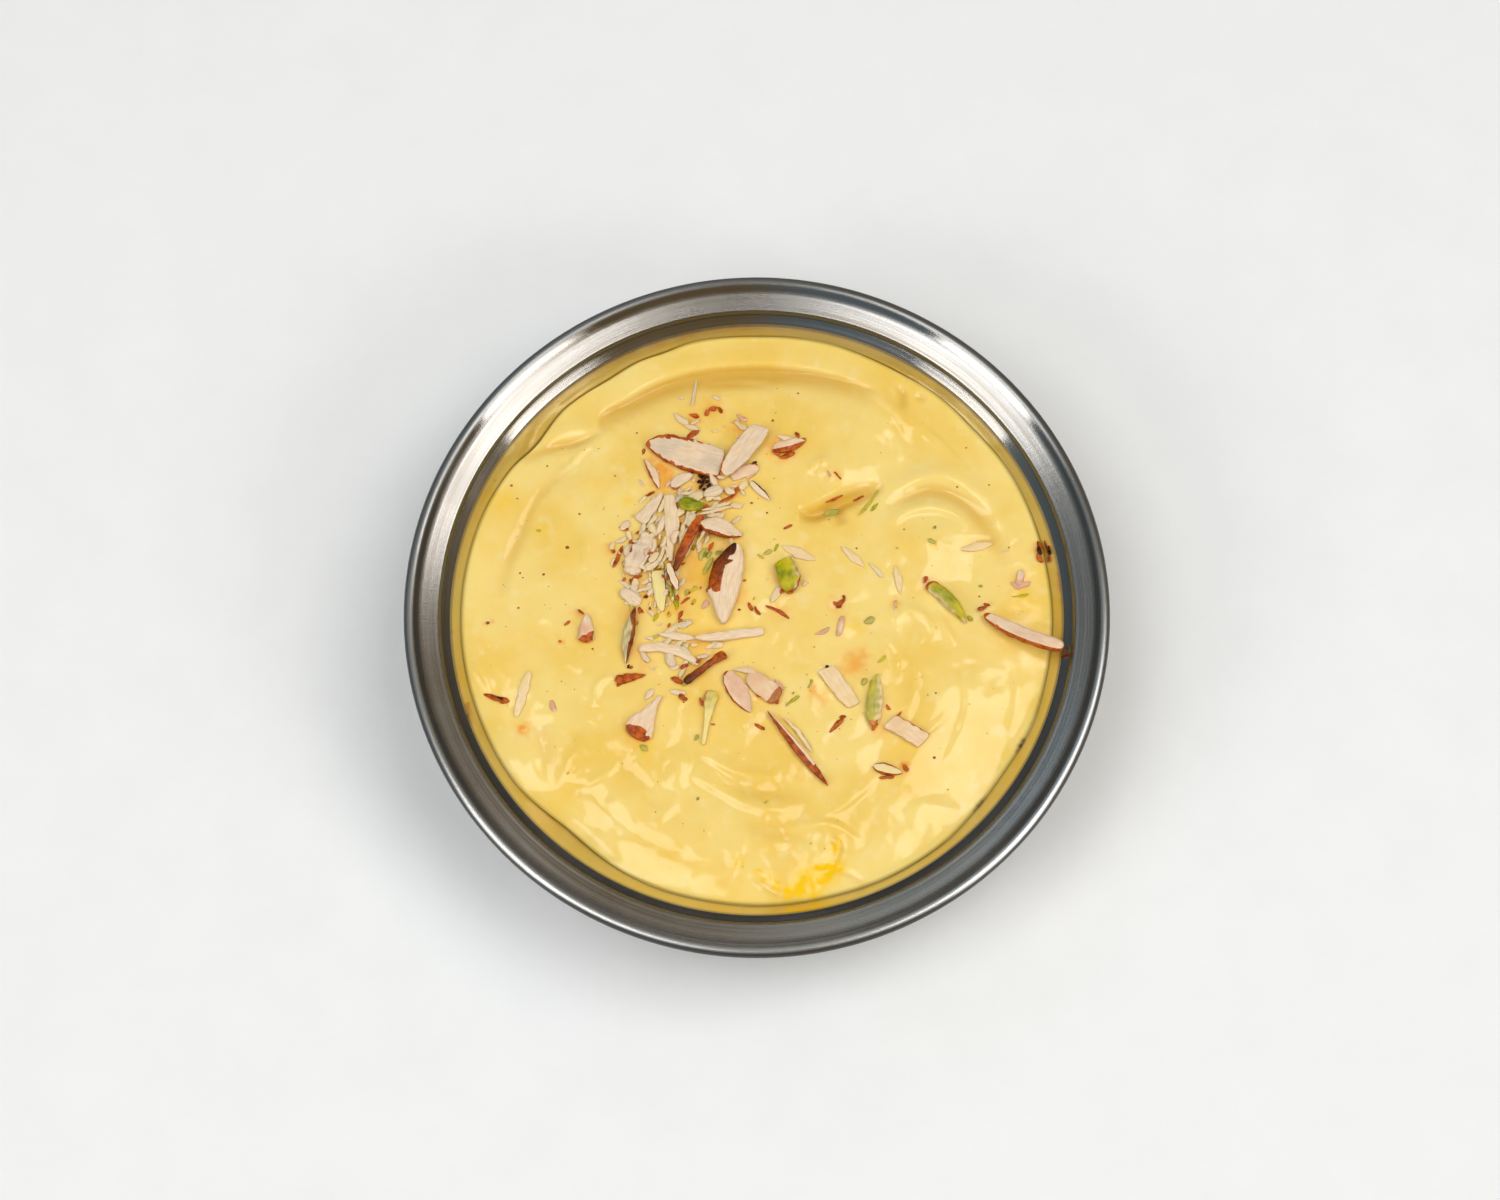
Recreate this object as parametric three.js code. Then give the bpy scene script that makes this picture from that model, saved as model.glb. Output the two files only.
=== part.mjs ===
// A steel bowl filled with shrikhand, with almond and pistachio slivers lying on it.
// Millimetres, +Z up. The origin is under the middle of the bowl's flat base.

import * as THREE from 'three';

const bowlFacets = 48; // facets around the bowl
const creamFacets = 2 * bowlFacets; // around its filling, so that its corners lie on the bowl's facets
const touchGap = 0.3; // clearance between pieces that touch

// The bowl
const rimRadius = 75; // outermost edge of the rolled rim
const beadRadius = 1.35; // section radius of the rolled rim
const beadHeight = 37.35; // middle of the rolled rim above the base
const sheet = 0.8; // thickness of the steel
const wallSlope = THREE.MathUtils.degToRad(57.2); // side wall, from horizontal
const bandSlope = THREE.MathUtils.degToRad(30); // narrow band between the wall and the flared rim
const flangeSlope = THREE.MathUtils.degToRad(16); // flared rim, from horizontal
const wallTop = { r: 66.02, z: 34.32 }; // inside, where the wall starts to bend outwards
const shoulderRadius = 0.6; // inside radius of that bend
const bandEnd = 67.7; // where the band meets the flared rim
const flangeEnd = 72.35; // where the flared rim meets the bead
const cornerRadius = 18; // inside radius between the base and the wall

// The shrikhand
const fillLevel = 30.1; // usual height where the cream meets the wall
const northRise = 0.7; // how much higher it stands at +Y, and lower at -Y
const crown = 1.5; // how much the middle stands above the edge
const edgeWidth = 3; // width of its rounded edge
const sagWidth = 14; // how far in from the wall the cream sags where it meets the wall lower
const ringShares = [0.05, 0.12, 0.2, 0.28, 0.36, 0.43, 0.5, 0.56, 0.62, 0.68, 0.73, 0.78, 0.83, 0.88, 0.92,
  0.955, 0.98, 1]; // rings of points from the middle to the wall

// Where the cream meets the wall: angle from +X in degrees, height above the base.
const edgeLevels = [
  [0, 29.2], [10, 29.2], [20, 30.2], [30, 30.9], [43, 29.8], [51, 30.6], [60, 30.1], [68, 30.4],
  [76, 31.1], [90, 30.4], [103, 31], [108, 29.8], [114, 30.2], [121, 29.2], [132, 29.7], [141, 27.6],
  [147, 29.4], [160, 30], [180, 29.9], [190, 29.4], [201, 29], [211, 29], [217, 28.6], [222, 26.6],
  [228, 24.8], [234, 25.4], [241, 26.9], [251, 28], [262, 27.8], [270, 28.5], [284, 28.2], [296, 29.5],
  [308, 29.8], [316, 27.8], [327, 27], [337, 28.9], [348, 28.6],
];

// Broad swells and dips: x, y, height, radius.
const mounds = [
  [18, 42, 1, 12], [-14, 20, 0.7, 20], [33, 36, -0.8, 7], [18.5, 32.5, 0.9, 5], [36, 16, 0.9, 6],
  [46, 8, -0.9, 7], [53, -33, -1.2, 11], [40, -18, 0.6, 10], [-28, -28, 0.6, 10], [2, -46, 0.6, 9],
  [56, 14, 0.5, 8], [-54, -24, -0.5, 7],
];

// Strokes that a spoon left in the cream. Each follows a smooth line through its points, and stands
// up along it, or is a furrow if its height is negative. Left and right are its widths on each side.
const strokes = [
  { height: -1.3, left: 0.9, right: 3.2,
    path: [[-33, 41], [-33, 45], [-28, 48], [-20, 52.3], [-10, 54.9], [0, 55.5], [10, 54.8], [20, 52.6],
      [27, 49.6]] },
  { height: -0.25, left: 0.8, right: 1.2, path: [[-12, 51.8], [-4, 52.2], [4, 51.6]] },
  { height: 0.4, left: 3, right: 3, path: [[-40, 50], [-20, 57.5], [0, 59.5], [20, 56.8]] },
  { height: 0.5, left: 1.6, right: 0.7,
    path: [[21, 58.4], [28, 55.6], [31.6, 54.4], [33, 52.4], [32.4, 48]] },
  { height: 0.5, left: 0.8, right: 1.4, path: [[32.5, 53.4], [36, 51.2], [40.5, 48.8]] },
  { height: 0.35, left: 1.6, right: 0.7, path: [[24, 50.4], [28, 47.4], [31, 44.4], [32.6, 40]] },
  { height: 0.35, left: 0.7, right: 2.2, path: [[33, 43.8], [37.6, 41], [41.6, 37], [47, 30.4]] },
  { height: 0.25, left: 1.2, right: 1.2, path: [[29, 42.5], [31, 38], [31, 33]] },
  { height: 0.7, left: 2.6, right: 1.4,
    path: [[28.5, 24.4], [32.5, 29], [38, 31.3], [43, 30.2], [50, 25], [55, 16]] },
  { height: -0.75, left: 1.8, right: 1.8,
    path: [[28, 24], [32.5, 26.8], [37.5, 28.2], [43.5, 26], [49, 20.4], [53.5, 11]] },
  { height: 0.5, left: 1.6, right: 1.1, path: [[29, 20], [31.5, 22.6], [36, 24], [41.5, 23.2], [46, 20]] },
  { height: -1.7, left: 1.5, right: 1.5,
    path: [[9, 22.2], [13, 22.6], [17, 24.6], [21, 26.2], [27.5, 29]] },
  { height: -0.7, left: 1.3, right: 1.3, path: [[17, 24.6], [18.6, 20]] },
  { height: -0.75, left: 1.1, right: 1.3, path: [[-51, 35.2], [-45, 38], [-38, 39.2], [-33, 41]] },
  { height: 0.45, left: 1.8, right: 1.8, path: [[-47, 41], [-41, 42.4], [-36, 43]] },
  { height: 0.35, left: 0.8, right: 1.2, path: [[-47, 35.6], [-40, 36.6], [-35, 39.6], [-32.4, 40.6]] },
  { height: -0.45, left: 1.3, right: 1.8,
    path: [[-40, 35], [-45.4, 28], [-49.6, 20.5], [-53, 12], [-55, 4]] },
  { height: 0.35, left: 2.2, right: 2.2, path: [[-52, 32], [-57.5, 20], [-60, 6]] },
  { height: 0.25, left: 3, right: 3, path: [[-34, 33], [-41, 24], [-45, 12], [-46, -6]] },
  { height: 0.5, left: 1.2, right: 0.8, path: [[-61, -8], [-58, -13.2], [-56, -17]] },
  { height: 0.25, left: 1.8, right: 1.4, path: [[-58.4, -18.4], [-57.2, -26], [-53.6, -32]] },
  { height: 0.32, left: 2.4, right: 1.6, path: [[-49.6, -25.6], [-48, -31], [-46, -36.4], [-43.4, -40.4]] },
  { height: 0.3, left: 1, right: 2.2, path: [[-43, -40.4], [-41.4, -35.4], [-38.4, -29.4], [-35, -24.6]] },
  { height: -0.3, left: 2.2, right: 2.2, path: [[-45.8, -22], [-45, -30], [-43.6, -37.6]] },
  { height: 0.28, left: 2, right: 0.7, path: [[-41.4, -35.9], [-36, -36.5], [-32, -34.9], [-29, -31.6]] },
  { height: 0.75, left: 7, right: 2.8,
    path: [[-36, -36.5], [-31.6, -42.4], [-23.4, -47.4], [-13.4, -51.8], [-5, -55]] },
  { height: -0.3, left: 2.6, right: 1.8, path: [[-29.5, -31.8], [-26, -36], [-20, -41]] },
  { height: 0.55, left: 2.6, right: 2.6, path: [[-17.6, -29], [-16.4, -33], [-17.8, -38]] },
  { height: 0.45, left: 1.6, right: 0.8, path: [[-11.6, -30], [-7, -33], [-2, -35], [5, -35.4]] },
  { height: 0.4, left: 2, right: 0.9, path: [[-14, -34.6], [-8, -38], [-1, -41.6], [7, -42.6]] },
  { height: -0.35, left: 1.6, right: 1.6, path: [[-9, -36.4], [0, -38.6], [12, -39.6]] },
  { height: 0.3, left: 2, right: 0.6, path: [[13.6, -43.4], [18, -41.6], [22, -38.6], [25.6, -35]] },
  { height: 0.4, left: 0.8, right: 1.6, path: [[5, -46.8], [12, -45.2], [17, -45.8], [22, -49.4]] },
  { height: -0.25, left: 2, right: 1.4, path: [[-6, -45], [4, -47.6], [11, -48.4]] },
  { height: 0.35, left: 0.7, right: 1.4, path: [[33.7, -11], [33.4, -17], [31.4, -23.4]] },
  { height: 0.4, left: 1.2, right: 0.9, path: [[28.6, -1.4], [32.6, 1], [36.6, -1.4], [37.8, -5.4]] },
  { height: 0.3, left: 1.4, right: 0.7, path: [[27.4, -4.6], [30, -8], [30.6, -12]] },
  { height: 0.35, left: 0.7, right: 1.3, path: [[38.4, 1], [40.6, -3], [42.4, -6.6]] },
  { height: 0.35, left: 4, right: 1, path: [[44.6, -11], [44.4, -22], [38, -36]] },
  { height: 0.3, left: 1.2, right: 1.2, path: [[54.6, -8], [55.4, -18], [53.4, -27]] },
  { height: 0.4, left: 1, right: 2.4, path: [[31, -43], [36, -41], [43, -42.4]] },
];

// The nuts. Each lies from one end to the other on the cream, or on the nuts named before it.
// Ends are pointed, round or blunt, widest is where the sliver is widest, from -1 at its first
// end to 1 at its last, and bow is how far its middle curves out to the left.
const nuts = [
  { name: 'almond_large', from: [-24, 38], to: [-7.4, 33.5], width: 7.2,
    thick: 1.6, ends: ['point', 'blunt'], widest: 0.4 },
  { name: 'almond_tail', from: [-5.6, 30.6], to: [0.4, 33], width: 2.8,
    thick: 1.1, ends: ['round', 'round'] },
  { name: 'almond_tall', from: [-7, 30.4], to: [1, 41.6], width: 4.7,
    thick: 1.4, ends: ['round', 'round'] },
  { name: 'almond_leaf_west', from: [-24.6, 34.8], to: [-21.2, 27.6], width: 2.2,
    thick: 1.1, ends: ['point', 'point'], bow: 0.4 },
  { name: 'almond_dark_edge', from: [-1.4, 29.6], to: [2.9, 25.2], width: 1.4,
    thick: 1, ends: ['blunt', 'point'] },
  { name: 'almond_chip_mid', from: [-18.6, 28.7], to: [-13.6, 30.6], width: 2.5,
    thick: 1.2, ends: ['blunt', 'point'] },
  { name: 'almond_leaf_upper', from: [-20.4, 27], to: [-25.2, 20.4], width: 2.9,
    thick: 1.2, ends: ['point', 'round'], widest: 0.3 },
  { name: 'almond_strip', from: [-18.6, 26.6], to: [-17.9, 11.4], width: 3,
    thick: 1.3, ends: ['round', 'point'] },
  { name: 'pistachio_top', from: [-17, 24.2], to: [-10.2, 23.6], width: 3.1,
    thick: 1.8, ends: ['round', 'point'] },
  { name: 'almond_skin_strip', from: [-11.6, 21.4], to: [-17.2, 9], width: 2.5,
    thick: 1.3, ends: ['blunt', 'blunt'], bow: -0.5 },
  { name: 'almond_wedge', from: [-12.4, 18.9], to: [-2.8, 18.2], width: 4.1,
    thick: 1.4, ends: ['point', 'point'] },
  { name: 'almond_half', from: [-4.4, 15.4], to: [-7.2, -2.4], width: 6.4,
    thick: 2.6, ends: ['blunt', 'point'], bow: -0.6 },
  { name: 'almond_crumbly', from: [-22.9, 17.6], to: [-27.5, 8.7], width: 4,
    thick: 2.2, ends: ['blunt', 'round'] },
  { name: 'almond_pale_strip', from: [-21.2, 9.6], to: [-20.3, 0.4], width: 2.7,
    thick: 1.3, ends: ['blunt', 'point'] },
  { name: 'almond_rimmed', from: [-18.9, 10.4], to: [-17, 4.4], width: 1.8,
    thick: 1.1, ends: ['point', 'blunt'] },
  { name: 'almond_chip_west', from: [-29.2, 5.4], to: [-24.9, 2.2], width: 2.7,
    thick: 1.2, ends: ['round', 'blunt'] },
  { name: 'pistachio_west', from: [-25.6, 1.2], to: [-27.6, -11], width: 3,
    thick: 1.6, ends: ['point', 'point'], bow: -0.5 },
  { name: 'almond_cross_west', from: [-21.2, -4.4], to: [-12.8, -5.5], width: 1.8,
    thick: 1.1, ends: ['point', 'point'] },
  { name: 'almond_cross', from: [-13.2, -5.6], to: [1.6, -4], width: 2,
    thick: 1.2, ends: ['point', 'blunt'], widest: 0.4 },
  { name: 'almond_bent', from: [-25.2, -7.8], to: [-12.4, -11.4], width: 2.4,
    thick: 1.2, ends: ['blunt', 'round'], bow: 1.8 },
  { name: 'almond_skin_east', from: [-15.4, -15.3], to: [-6.8, -8.8], width: 2,
    thick: 1.1, ends: ['round', 'blunt'] },
  { name: 'almond_skin_hook', from: [-30.2, -14.5], to: [-23.6, -13.3], width: 2.1,
    thick: 1.1, ends: ['round', 'point'], widest: -0.6 },
  { name: 'almond_crescent', from: [-20.4, -17.8], to: [-25.9, -27.2], width: 6.6,
    thick: 1.5, ends: ['point', 'round'], widest: 0.6 },
  { name: 'pistachio_pale', from: [-9.6, -16.8], to: [-11.4, -28.6], width: 2.9,
    thick: 1.2, ends: ['round', 'point'], widest: -0.5 },
  { name: 'almond_oval_east', from: [-2, -13.2], to: [4.7, -18.6], width: 4.4,
    thick: 1.2, ends: ['round', 'blunt'] },
  { name: 'almond_oval', from: [-6.6, -12.6], to: [-1.3, -21.6], width: 4.2,
    thick: 1.2, ends: ['round', 'point'] },
  { name: 'almond_long_skin', from: [2.2, -21.2], to: [15, -37.4], width: 2.2,
    thick: 1.6, ends: ['point', 'point'], widest: 0.2 },
  { name: 'almond_block', from: [14.8, -11.6], to: [20.5, -20.2], width: 4.5,
    thick: 1.3, ends: ['blunt', 'blunt'] },
  { name: 'pistachio_crescent', from: [26.2, -13.2], to: [24.8, -24.6], width: 3.5,
    thick: 1.8, ends: ['point', 'point'], bow: -0.5 },
  { name: 'almond_oblong', from: [28, -23.2], to: [35.6, -27.7], width: 4.8,
    thick: 1.3, ends: ['blunt', 'blunt'] },
  { name: 'almond_small_oval', from: [24.5, -33], to: [30.8, -34.6], width: 2.4,
    thick: 1.2, ends: ['round', 'point'] },
  { name: 'pistachio_chunk', from: [5.6, 12], to: [7.8, 4.5], width: 4.3,
    thick: 2.4, ends: ['blunt', 'blunt'] },
  { name: 'almond_sunk_a', from: [5.2, 15.2], to: [12.6, 12], width: 2.3,
    thick: 1, ends: ['point', 'point'] },
  { name: 'almond_sunk_b', from: [18, 15.2], to: [23.2, 10.6], width: 1.8,
    thick: 1, ends: ['point', 'point'] },
  { name: 'almond_upright', from: [29.7, 11.2], to: [30.8, 4.4], width: 1.6,
    thick: 1, ends: ['point', 'point'] },
  { name: 'almond_pale_east', from: [43.6, 14.6], to: [51, 16.1], width: 1.9,
    thick: 1, ends: ['point', 'point'] },
  { name: 'pistachio_east', from: [36.4, 6.8], to: [44.6, -2], width: 3.3,
    thick: 1.8, ends: ['blunt', 'point'], bow: 0.8 },
  { name: 'almond_long', from: [48.4, 0.2], to: [65.2, -8.2], width: 3.3,
    thick: 2.4, ends: ['round', 'blunt'], bow: -0.7 },
  { name: 'almond_pink', from: [-36.2, 0.2], to: [-36.6, -6.2], width: 3.3,
    thick: 1.6, ends: ['point', 'blunt'], widest: 0.4 },
  { name: 'almond_pale_west', from: [-48.4, -12.2], to: [-51.2, -22.2], width: 2.1,
    thick: 1, ends: ['round', 'round'] },
  { name: 'almond_skin_curl', from: [3.4, 36.9], to: [10.6, 38.7], width: 2.9,
    thick: 1.3, ends: ['round', 'point'] },
];

// How wide each kind of end is, as a share of the sliver, and how roundly it gets there.
const endShapes = {
  point: { share: 0.12, power: 1.7 },
  round: { share: 0.42, power: 2.8 },
  blunt: { share: 0.78, power: 3.2 },
};
const sliverStations = 5; // sections along a sliver
const sectionShoulder = 0.74; // where a section's flat faces end, as a share of its half width

const steel = new THREE.MeshStandardMaterial({ color: 0xb9b6b0, roughness: 0.28, metalness: 1 });
const cream = new THREE.MeshStandardMaterial({ color: 0xf6d57f, roughness: 0.4, metalness: 0 });
const almond = new THREE.MeshStandardMaterial({ color: 0xe9dcc9, roughness: 0.6, metalness: 0 });
const almondSkin = new THREE.MeshStandardMaterial({ color: 0x8d3d16, roughness: 0.65, metalness: 0 });
const pistachio = new THREE.MeshStandardMaterial({ color: 0x9bb02c, roughness: 0.55, metalness: 0 });

const group = new THREE.Group();

function addMesh(name, geometry, material) {
  const mesh = new THREE.Mesh(geometry, material);
  mesh.name = name;
  group.add(mesh);
  return mesh;
}

// Points on a circle arc in the plane of the profile, from one angle to another.
function arc(centre, radius, start, end, steps) {
  return Array.from({ length: steps + 1 }, (_, i) => {
    const angle = start + ((end - start) * i) / steps;
    return new THREE.Vector2(centre.x + radius * Math.cos(angle), centre.y + radius * Math.sin(angle));
  });
}

// The inside radius of the straight part of the wall, at a height above the base.
function wallRadius(z) {
  return wallTop.r - (wallTop.z - z) / Math.tan(wallSlope);
}

// The height of the steel's upper face at a radius, on the wall, on the band and on the flared rim.
function steelTop(r) {
  const bandFrom = { r: wallTop.r + 0.19, z: wallTop.z + 0.21 }; // past the small bend
  if (r < wallTop.r) return wallTop.z - (wallTop.r - r) * Math.tan(wallSlope);
  const onBand = Math.min(r, bandEnd) - bandFrom.r;
  return bandFrom.z + onBand * Math.tan(bandSlope) + Math.max(r - bandEnd, 0) * Math.tan(flangeSlope);
}

// One face of the steel from the axis to the flared rim. The offset is 0 for the inside face,
// the thickness of the sheet for the outside face, and negative for the filling's own surface.
function steelFace(offset, steps) {
  const cornerEnd = sheet + cornerRadius * (1 - Math.cos(wallSlope));
  const cornerMiddle = wallRadius(cornerEnd) - cornerRadius * Math.sin(wallSlope);
  const corner = new THREE.Vector2(cornerMiddle, sheet + cornerRadius);
  const bend = new THREE.Vector2(
    wallTop.r + shoulderRadius * Math.sin(wallSlope), wallTop.z - shoulderRadius * Math.cos(wallSlope));
  const down = -Math.PI / 2;
  const up = Math.PI / 2;
  const middle = up + (wallSlope + bandSlope) / 2;
  const reach = (shoulderRadius - offset) / Math.cos((wallSlope - bandSlope) / 2);
  const shoulder = shoulderRadius > offset
    ? arc(bend, shoulderRadius - offset, up + wallSlope, up + bandSlope, 1)
    : [new THREE.Vector2(bend.x + reach * Math.cos(middle), bend.y + reach * Math.sin(middle))];
  return [
    new THREE.Vector2(0, corner.y - cornerRadius - offset),
    ...arc(corner, cornerRadius + offset, down, down + wallSlope, steps),
    ...shoulder,
  ];
}

function bowl() {
  const inside = steelFace(0, 4);
  const outside = steelFace(sheet, 4);
  const bead = new THREE.Vector2(rimRadius - beadRadius, beadHeight);
  const band = new THREE.Vector2(bandEnd, steelTop(bandEnd));
  const flange = new THREE.Vector2(flangeEnd, steelTop(flangeEnd));
  const meet = Math.atan2(flange.y - bead.y, flange.x - bead.x);
  const rolled = arc(bead, beadRadius, meet - 2 * Math.PI + 0.62, meet - 0.12, 6);
  const profile = [...outside, ...rolled, flange, band, ...inside.reverse()];
  const geometry = new THREE.LatheGeometry(profile, bowlFacets);
  return geometry.rotateX(Math.PI / 2);
}

// Points along a stroke, close enough together to measure distances from.
function strokeLine(path) {
  const curve = new THREE.CatmullRomCurve3(path.map(([x, y]) => new THREE.Vector3(x, y, 0)));
  return curve.getPoints(path.length * 6);
}

// The nearest place on a stroke: how far away, how far along from 0 to 1, and on which side.
function nearest(line, x, y) {
  let best = { distance: Infinity, along: 0, side: 1 };
  for (let i = 0; i + 1 < line.length; i++) {
    const [dx, dy] = [line[i + 1].x - line[i].x, line[i + 1].y - line[i].y];
    const [px, py] = [x - line[i].x, y - line[i].y];
    const t = THREE.MathUtils.clamp((px * dx + py * dy) / (dx * dx + dy * dy), 0, 1);
    const distance = Math.hypot(px - t * dx, py - t * dy);
    if (distance < best.distance) {
      best = { distance, along: (i + t) / (line.length - 1), side: Math.sign(dx * py - dy * px) || 1 };
    }
  }
  return best;
}

for (const stroke of strokes) stroke.line = strokeLine(stroke.path);

// How far a stroke raises the cream at a point. It fades to nothing at both of its ends.
function strokeRise(stroke, x, y) {
  const { distance, along, side } = nearest(stroke.line, x, y);
  const fade = Math.pow(Math.sin(Math.PI * THREE.MathUtils.clamp(along, 0, 1)), 0.6);
  const width = side > 0 ? stroke.left : stroke.right;
  return stroke.height * fade * Math.exp(-Math.pow(distance / width, 2));
}

// The height where the cream meets the wall, in a direction.
function edgeLevel(angle) {
  const degrees = THREE.MathUtils.euclideanModulo(THREE.MathUtils.radToDeg(angle), 360);
  const after = edgeLevels.findIndex(([at]) => at > degrees);
  const [to, high] = after < 0 ? [360, edgeLevels[0][1]] : edgeLevels[after];
  const [from, low] = edgeLevels[after < 0 ? edgeLevels.length - 1 : after - 1];
  return THREE.MathUtils.mapLinear(degrees, from, to, low, high);
}

// A dome that leans to -Y, with the strokes and swells on it. It sags towards a low meeting with
// the wall, and its edge is a quarter circle.
function creamHeight(x, y) {
  const edge = edgeLevel(Math.atan2(y, x));
  const reach = wallRadius(edge);
  const r = Math.hypot(x, y);
  const share = Math.min(r / reach, 1);
  let rise = strokes.reduce((sum, stroke) => sum + strokeRise(stroke, x, y), 0);
  for (const [mx, my, height, radius] of mounds) {
    rise += height * Math.exp(-((x - mx) ** 2 + (y - my) ** 2) / radius ** 2);
  }
  const dome = fillLevel + (northRise * y) / 63 + crown * (1 - share ** 2) + rise * (1 - share ** 16);
  const lean = THREE.MathUtils.clamp(1 - (reach - r) / sagWidth, 0, 1) ** 1.8;
  const top = dome + Math.min(edge - fillLevel, 0) * 0.75 * lean;
  const inside = THREE.MathUtils.clamp((reach - r) / edgeWidth, 0, 1);
  return top - (top - edge) * (1 - Math.sqrt(1 - (1 - inside) ** 2));
}

// A closed solid made of rings of points, one around the other, from one pole to the other.
// Each ring is a function from an angle to a point. The first and the last give one point each.
function ringSolid(rings) {
  const positions = [];
  const starts = [];
  rings.forEach((ring, i) => {
    starts.push(positions.length / 3);
    const count = i === 0 || i === rings.length - 1 ? 1 : creamFacets;
    for (let s = 0; s < count; s++) positions.push(...ring((2 * Math.PI * s) / creamFacets));
  });
  const index = [];
  for (let i = 0; i + 1 < rings.length; i++) {
    const inner = i === 0;
    const outer = i === rings.length - 2;
    for (let s = 0; s < creamFacets; s++) {
      const next = (s + 1) % creamFacets;
      const [a, b] = [starts[i] + (inner ? 0 : s), starts[i] + (inner ? 0 : next)];
      const [c, d] = [starts[i + 1] + (outer ? 0 : s), starts[i + 1] + (outer ? 0 : next)];
      if (!outer) index.push(a, c, d);
      if (!inner) index.push(a, d, b);
    }
  }
  const geometry = new THREE.BufferGeometry();
  geometry.setAttribute('position', new THREE.Float32BufferAttribute(positions, 3));
  geometry.setIndex(index);
  return geometry;
}

// How much nearer than its corners the bowl's facets are, in a direction.
function facetShare(angle) {
  const step = (2 * Math.PI) / bowlFacets;
  const past = THREE.MathUtils.euclideanModulo(angle, step) - step / 2;
  return Math.cos(step / 2) / Math.cos(past);
}

// The cream: its stroked top, then the edge against the wall, then the steel's shape to the base.
function shrikhand() {
  const at = (r, angle, z) => {
    const near = r * facetShare(angle);
    return [near * Math.cos(angle), near * Math.sin(angle), z];
  };
  const wallGap = touchGap / Math.sin(wallSlope);
  const topRing = (share) => (angle) => {
    const r = share * wallRadius(edgeLevel(angle));
    const z = creamHeight(r * Math.cos(angle), r * Math.sin(angle));
    return at(r - share ** 8 * wallGap, angle, z);
  };
  const wall = steelFace(-touchGap, 4).filter((p) => p.y < fillLevel - 6).reverse();
  const side = wall.map((p) => (angle) => at(p.x, angle, p.y));
  return ringSolid([() => [0, 0, creamHeight(0, 0)], ...ringShares.map(topRing), ...side]);
}

// The share of its full width that a sliver has at a station, from -1 to 1 along it.
function outlineShare(nut, station) {
  const widest = nut.widest ?? 0;
  const first = station < widest;
  const { share, power } = endShapes[nut.ends[first ? 0 : 1]];
  const away = first ? (widest - station) / (widest + 1) : (station - widest) / (1 - widest);
  return 1 - (1 - share) * Math.pow(away, power);
}

// A sliver lying along X, lofted through six-sided sections that follow its outline.
function sliver(nut, length) {
  const positions = [];
  const index = [];
  const sides = 6;
  for (let i = 0; i < sliverStations; i++) {
    const station = -1 + (2 * i) / (sliverStations - 1);
    const half = (nut.width / 2) * outlineShare(nut, station);
    const high = (nut.thick / 2) * (1 - 0.25 * station * station);
    const y = (nut.bow ?? 0) * (1 - station * station);
    const inner = half * sectionShoulder;
    const section = [[half, 0], [inner, high], [-inner, high], [-half, 0], [-inner, -high], [inner, -high]];
    for (const [across, up] of section) positions.push((station * length) / 2, y + across, up);
  }
  for (let i = 0; i + 1 < sliverStations; i++) {
    for (let s = 0; s < sides; s++) {
      const [a, b] = [i * sides + s, i * sides + ((s + 1) % sides)];
      index.push(a, b, a + sides, b, b + sides, a + sides);
    }
  }
  const last = (sliverStations - 1) * sides;
  for (let s = 1; s + 1 < sides; s++) index.push(0, s + 1, s, last, last + s, last + s + 1);
  const geometry = new THREE.BufferGeometry();
  geometry.setAttribute('position', new THREE.Float32BufferAttribute(positions, 3));
  geometry.setIndex(index);
  return geometry;
}

// A map of what the next sliver would rest on: the cream, and the slivers that lie there already.
const cell = 0.4;
const mapSize = 2 * Math.ceil(rimRadius / cell);
const support = new Float64Array(mapSize * mapSize);
const cellMiddle = (i) => (i + 0.5 - mapSize / 2) * cell;
const cellOf = (value) => Math.floor(value / cell + mapSize / 2);

function fillSupport() {
  for (let j = 0; j < mapSize; j++) {
    for (let i = 0; i < mapSize; i++) {
      const [x, y] = [cellMiddle(i), cellMiddle(j)];
      const r = Math.hypot(x, y);
      const inBowl = r < wallRadius(edgeLevel(Math.atan2(y, x)));
      support[j * mapSize + i] = Math.max(inBowl ? creamHeight(x, y) : 0, steelTop(r));
    }
  }
}

// The highest support in a cell and around it.
function supportNear(i, j) {
  let high = -Infinity;
  for (let dj = -1; dj <= 1; dj++) {
    for (let di = -1; di <= 1; di++) high = Math.max(high, support[(j + dj) * mapSize + i + di]);
  }
  return high;
}

// Calls visit(i, j, z) for every cell under every triangle of a mesh, with the triangle's height.
function scanTriangles(mesh, visit) {
  mesh.updateMatrixWorld();
  const points = mesh.geometry.attributes.position;
  const index = mesh.geometry.index;
  const triangle = new THREE.Triangle();
  const weights = new THREE.Vector3();
  const corners = [triangle.a, triangle.b, triangle.c];
  for (let t = 0; t < index.count; t += 3) {
    corners.forEach((corner, k) => {
      corner.fromBufferAttribute(points, index.getX(t + k)).applyMatrix4(mesh.matrixWorld);
    });
    const flat = new THREE.Triangle(...corners.map((corner) => corner.clone().setZ(0)));
    const box = new THREE.Box3().setFromPoints(corners);
    for (let j = cellOf(box.min.y); j <= cellOf(box.max.y); j++) {
      for (let i = cellOf(box.min.x); i <= cellOf(box.max.x); i++) {
        const middle = new THREE.Vector3(cellMiddle(i), cellMiddle(j), 0);
        if (!flat.getBarycoord(middle, weights)) continue;
        if (Math.min(weights.x, weights.y, weights.z) < -0.05) continue;
        visit(i, j, weights.x * corners[0].z + weights.y * corners[1].z + weights.z * corners[2].z);
      }
    }
  }
}

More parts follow.
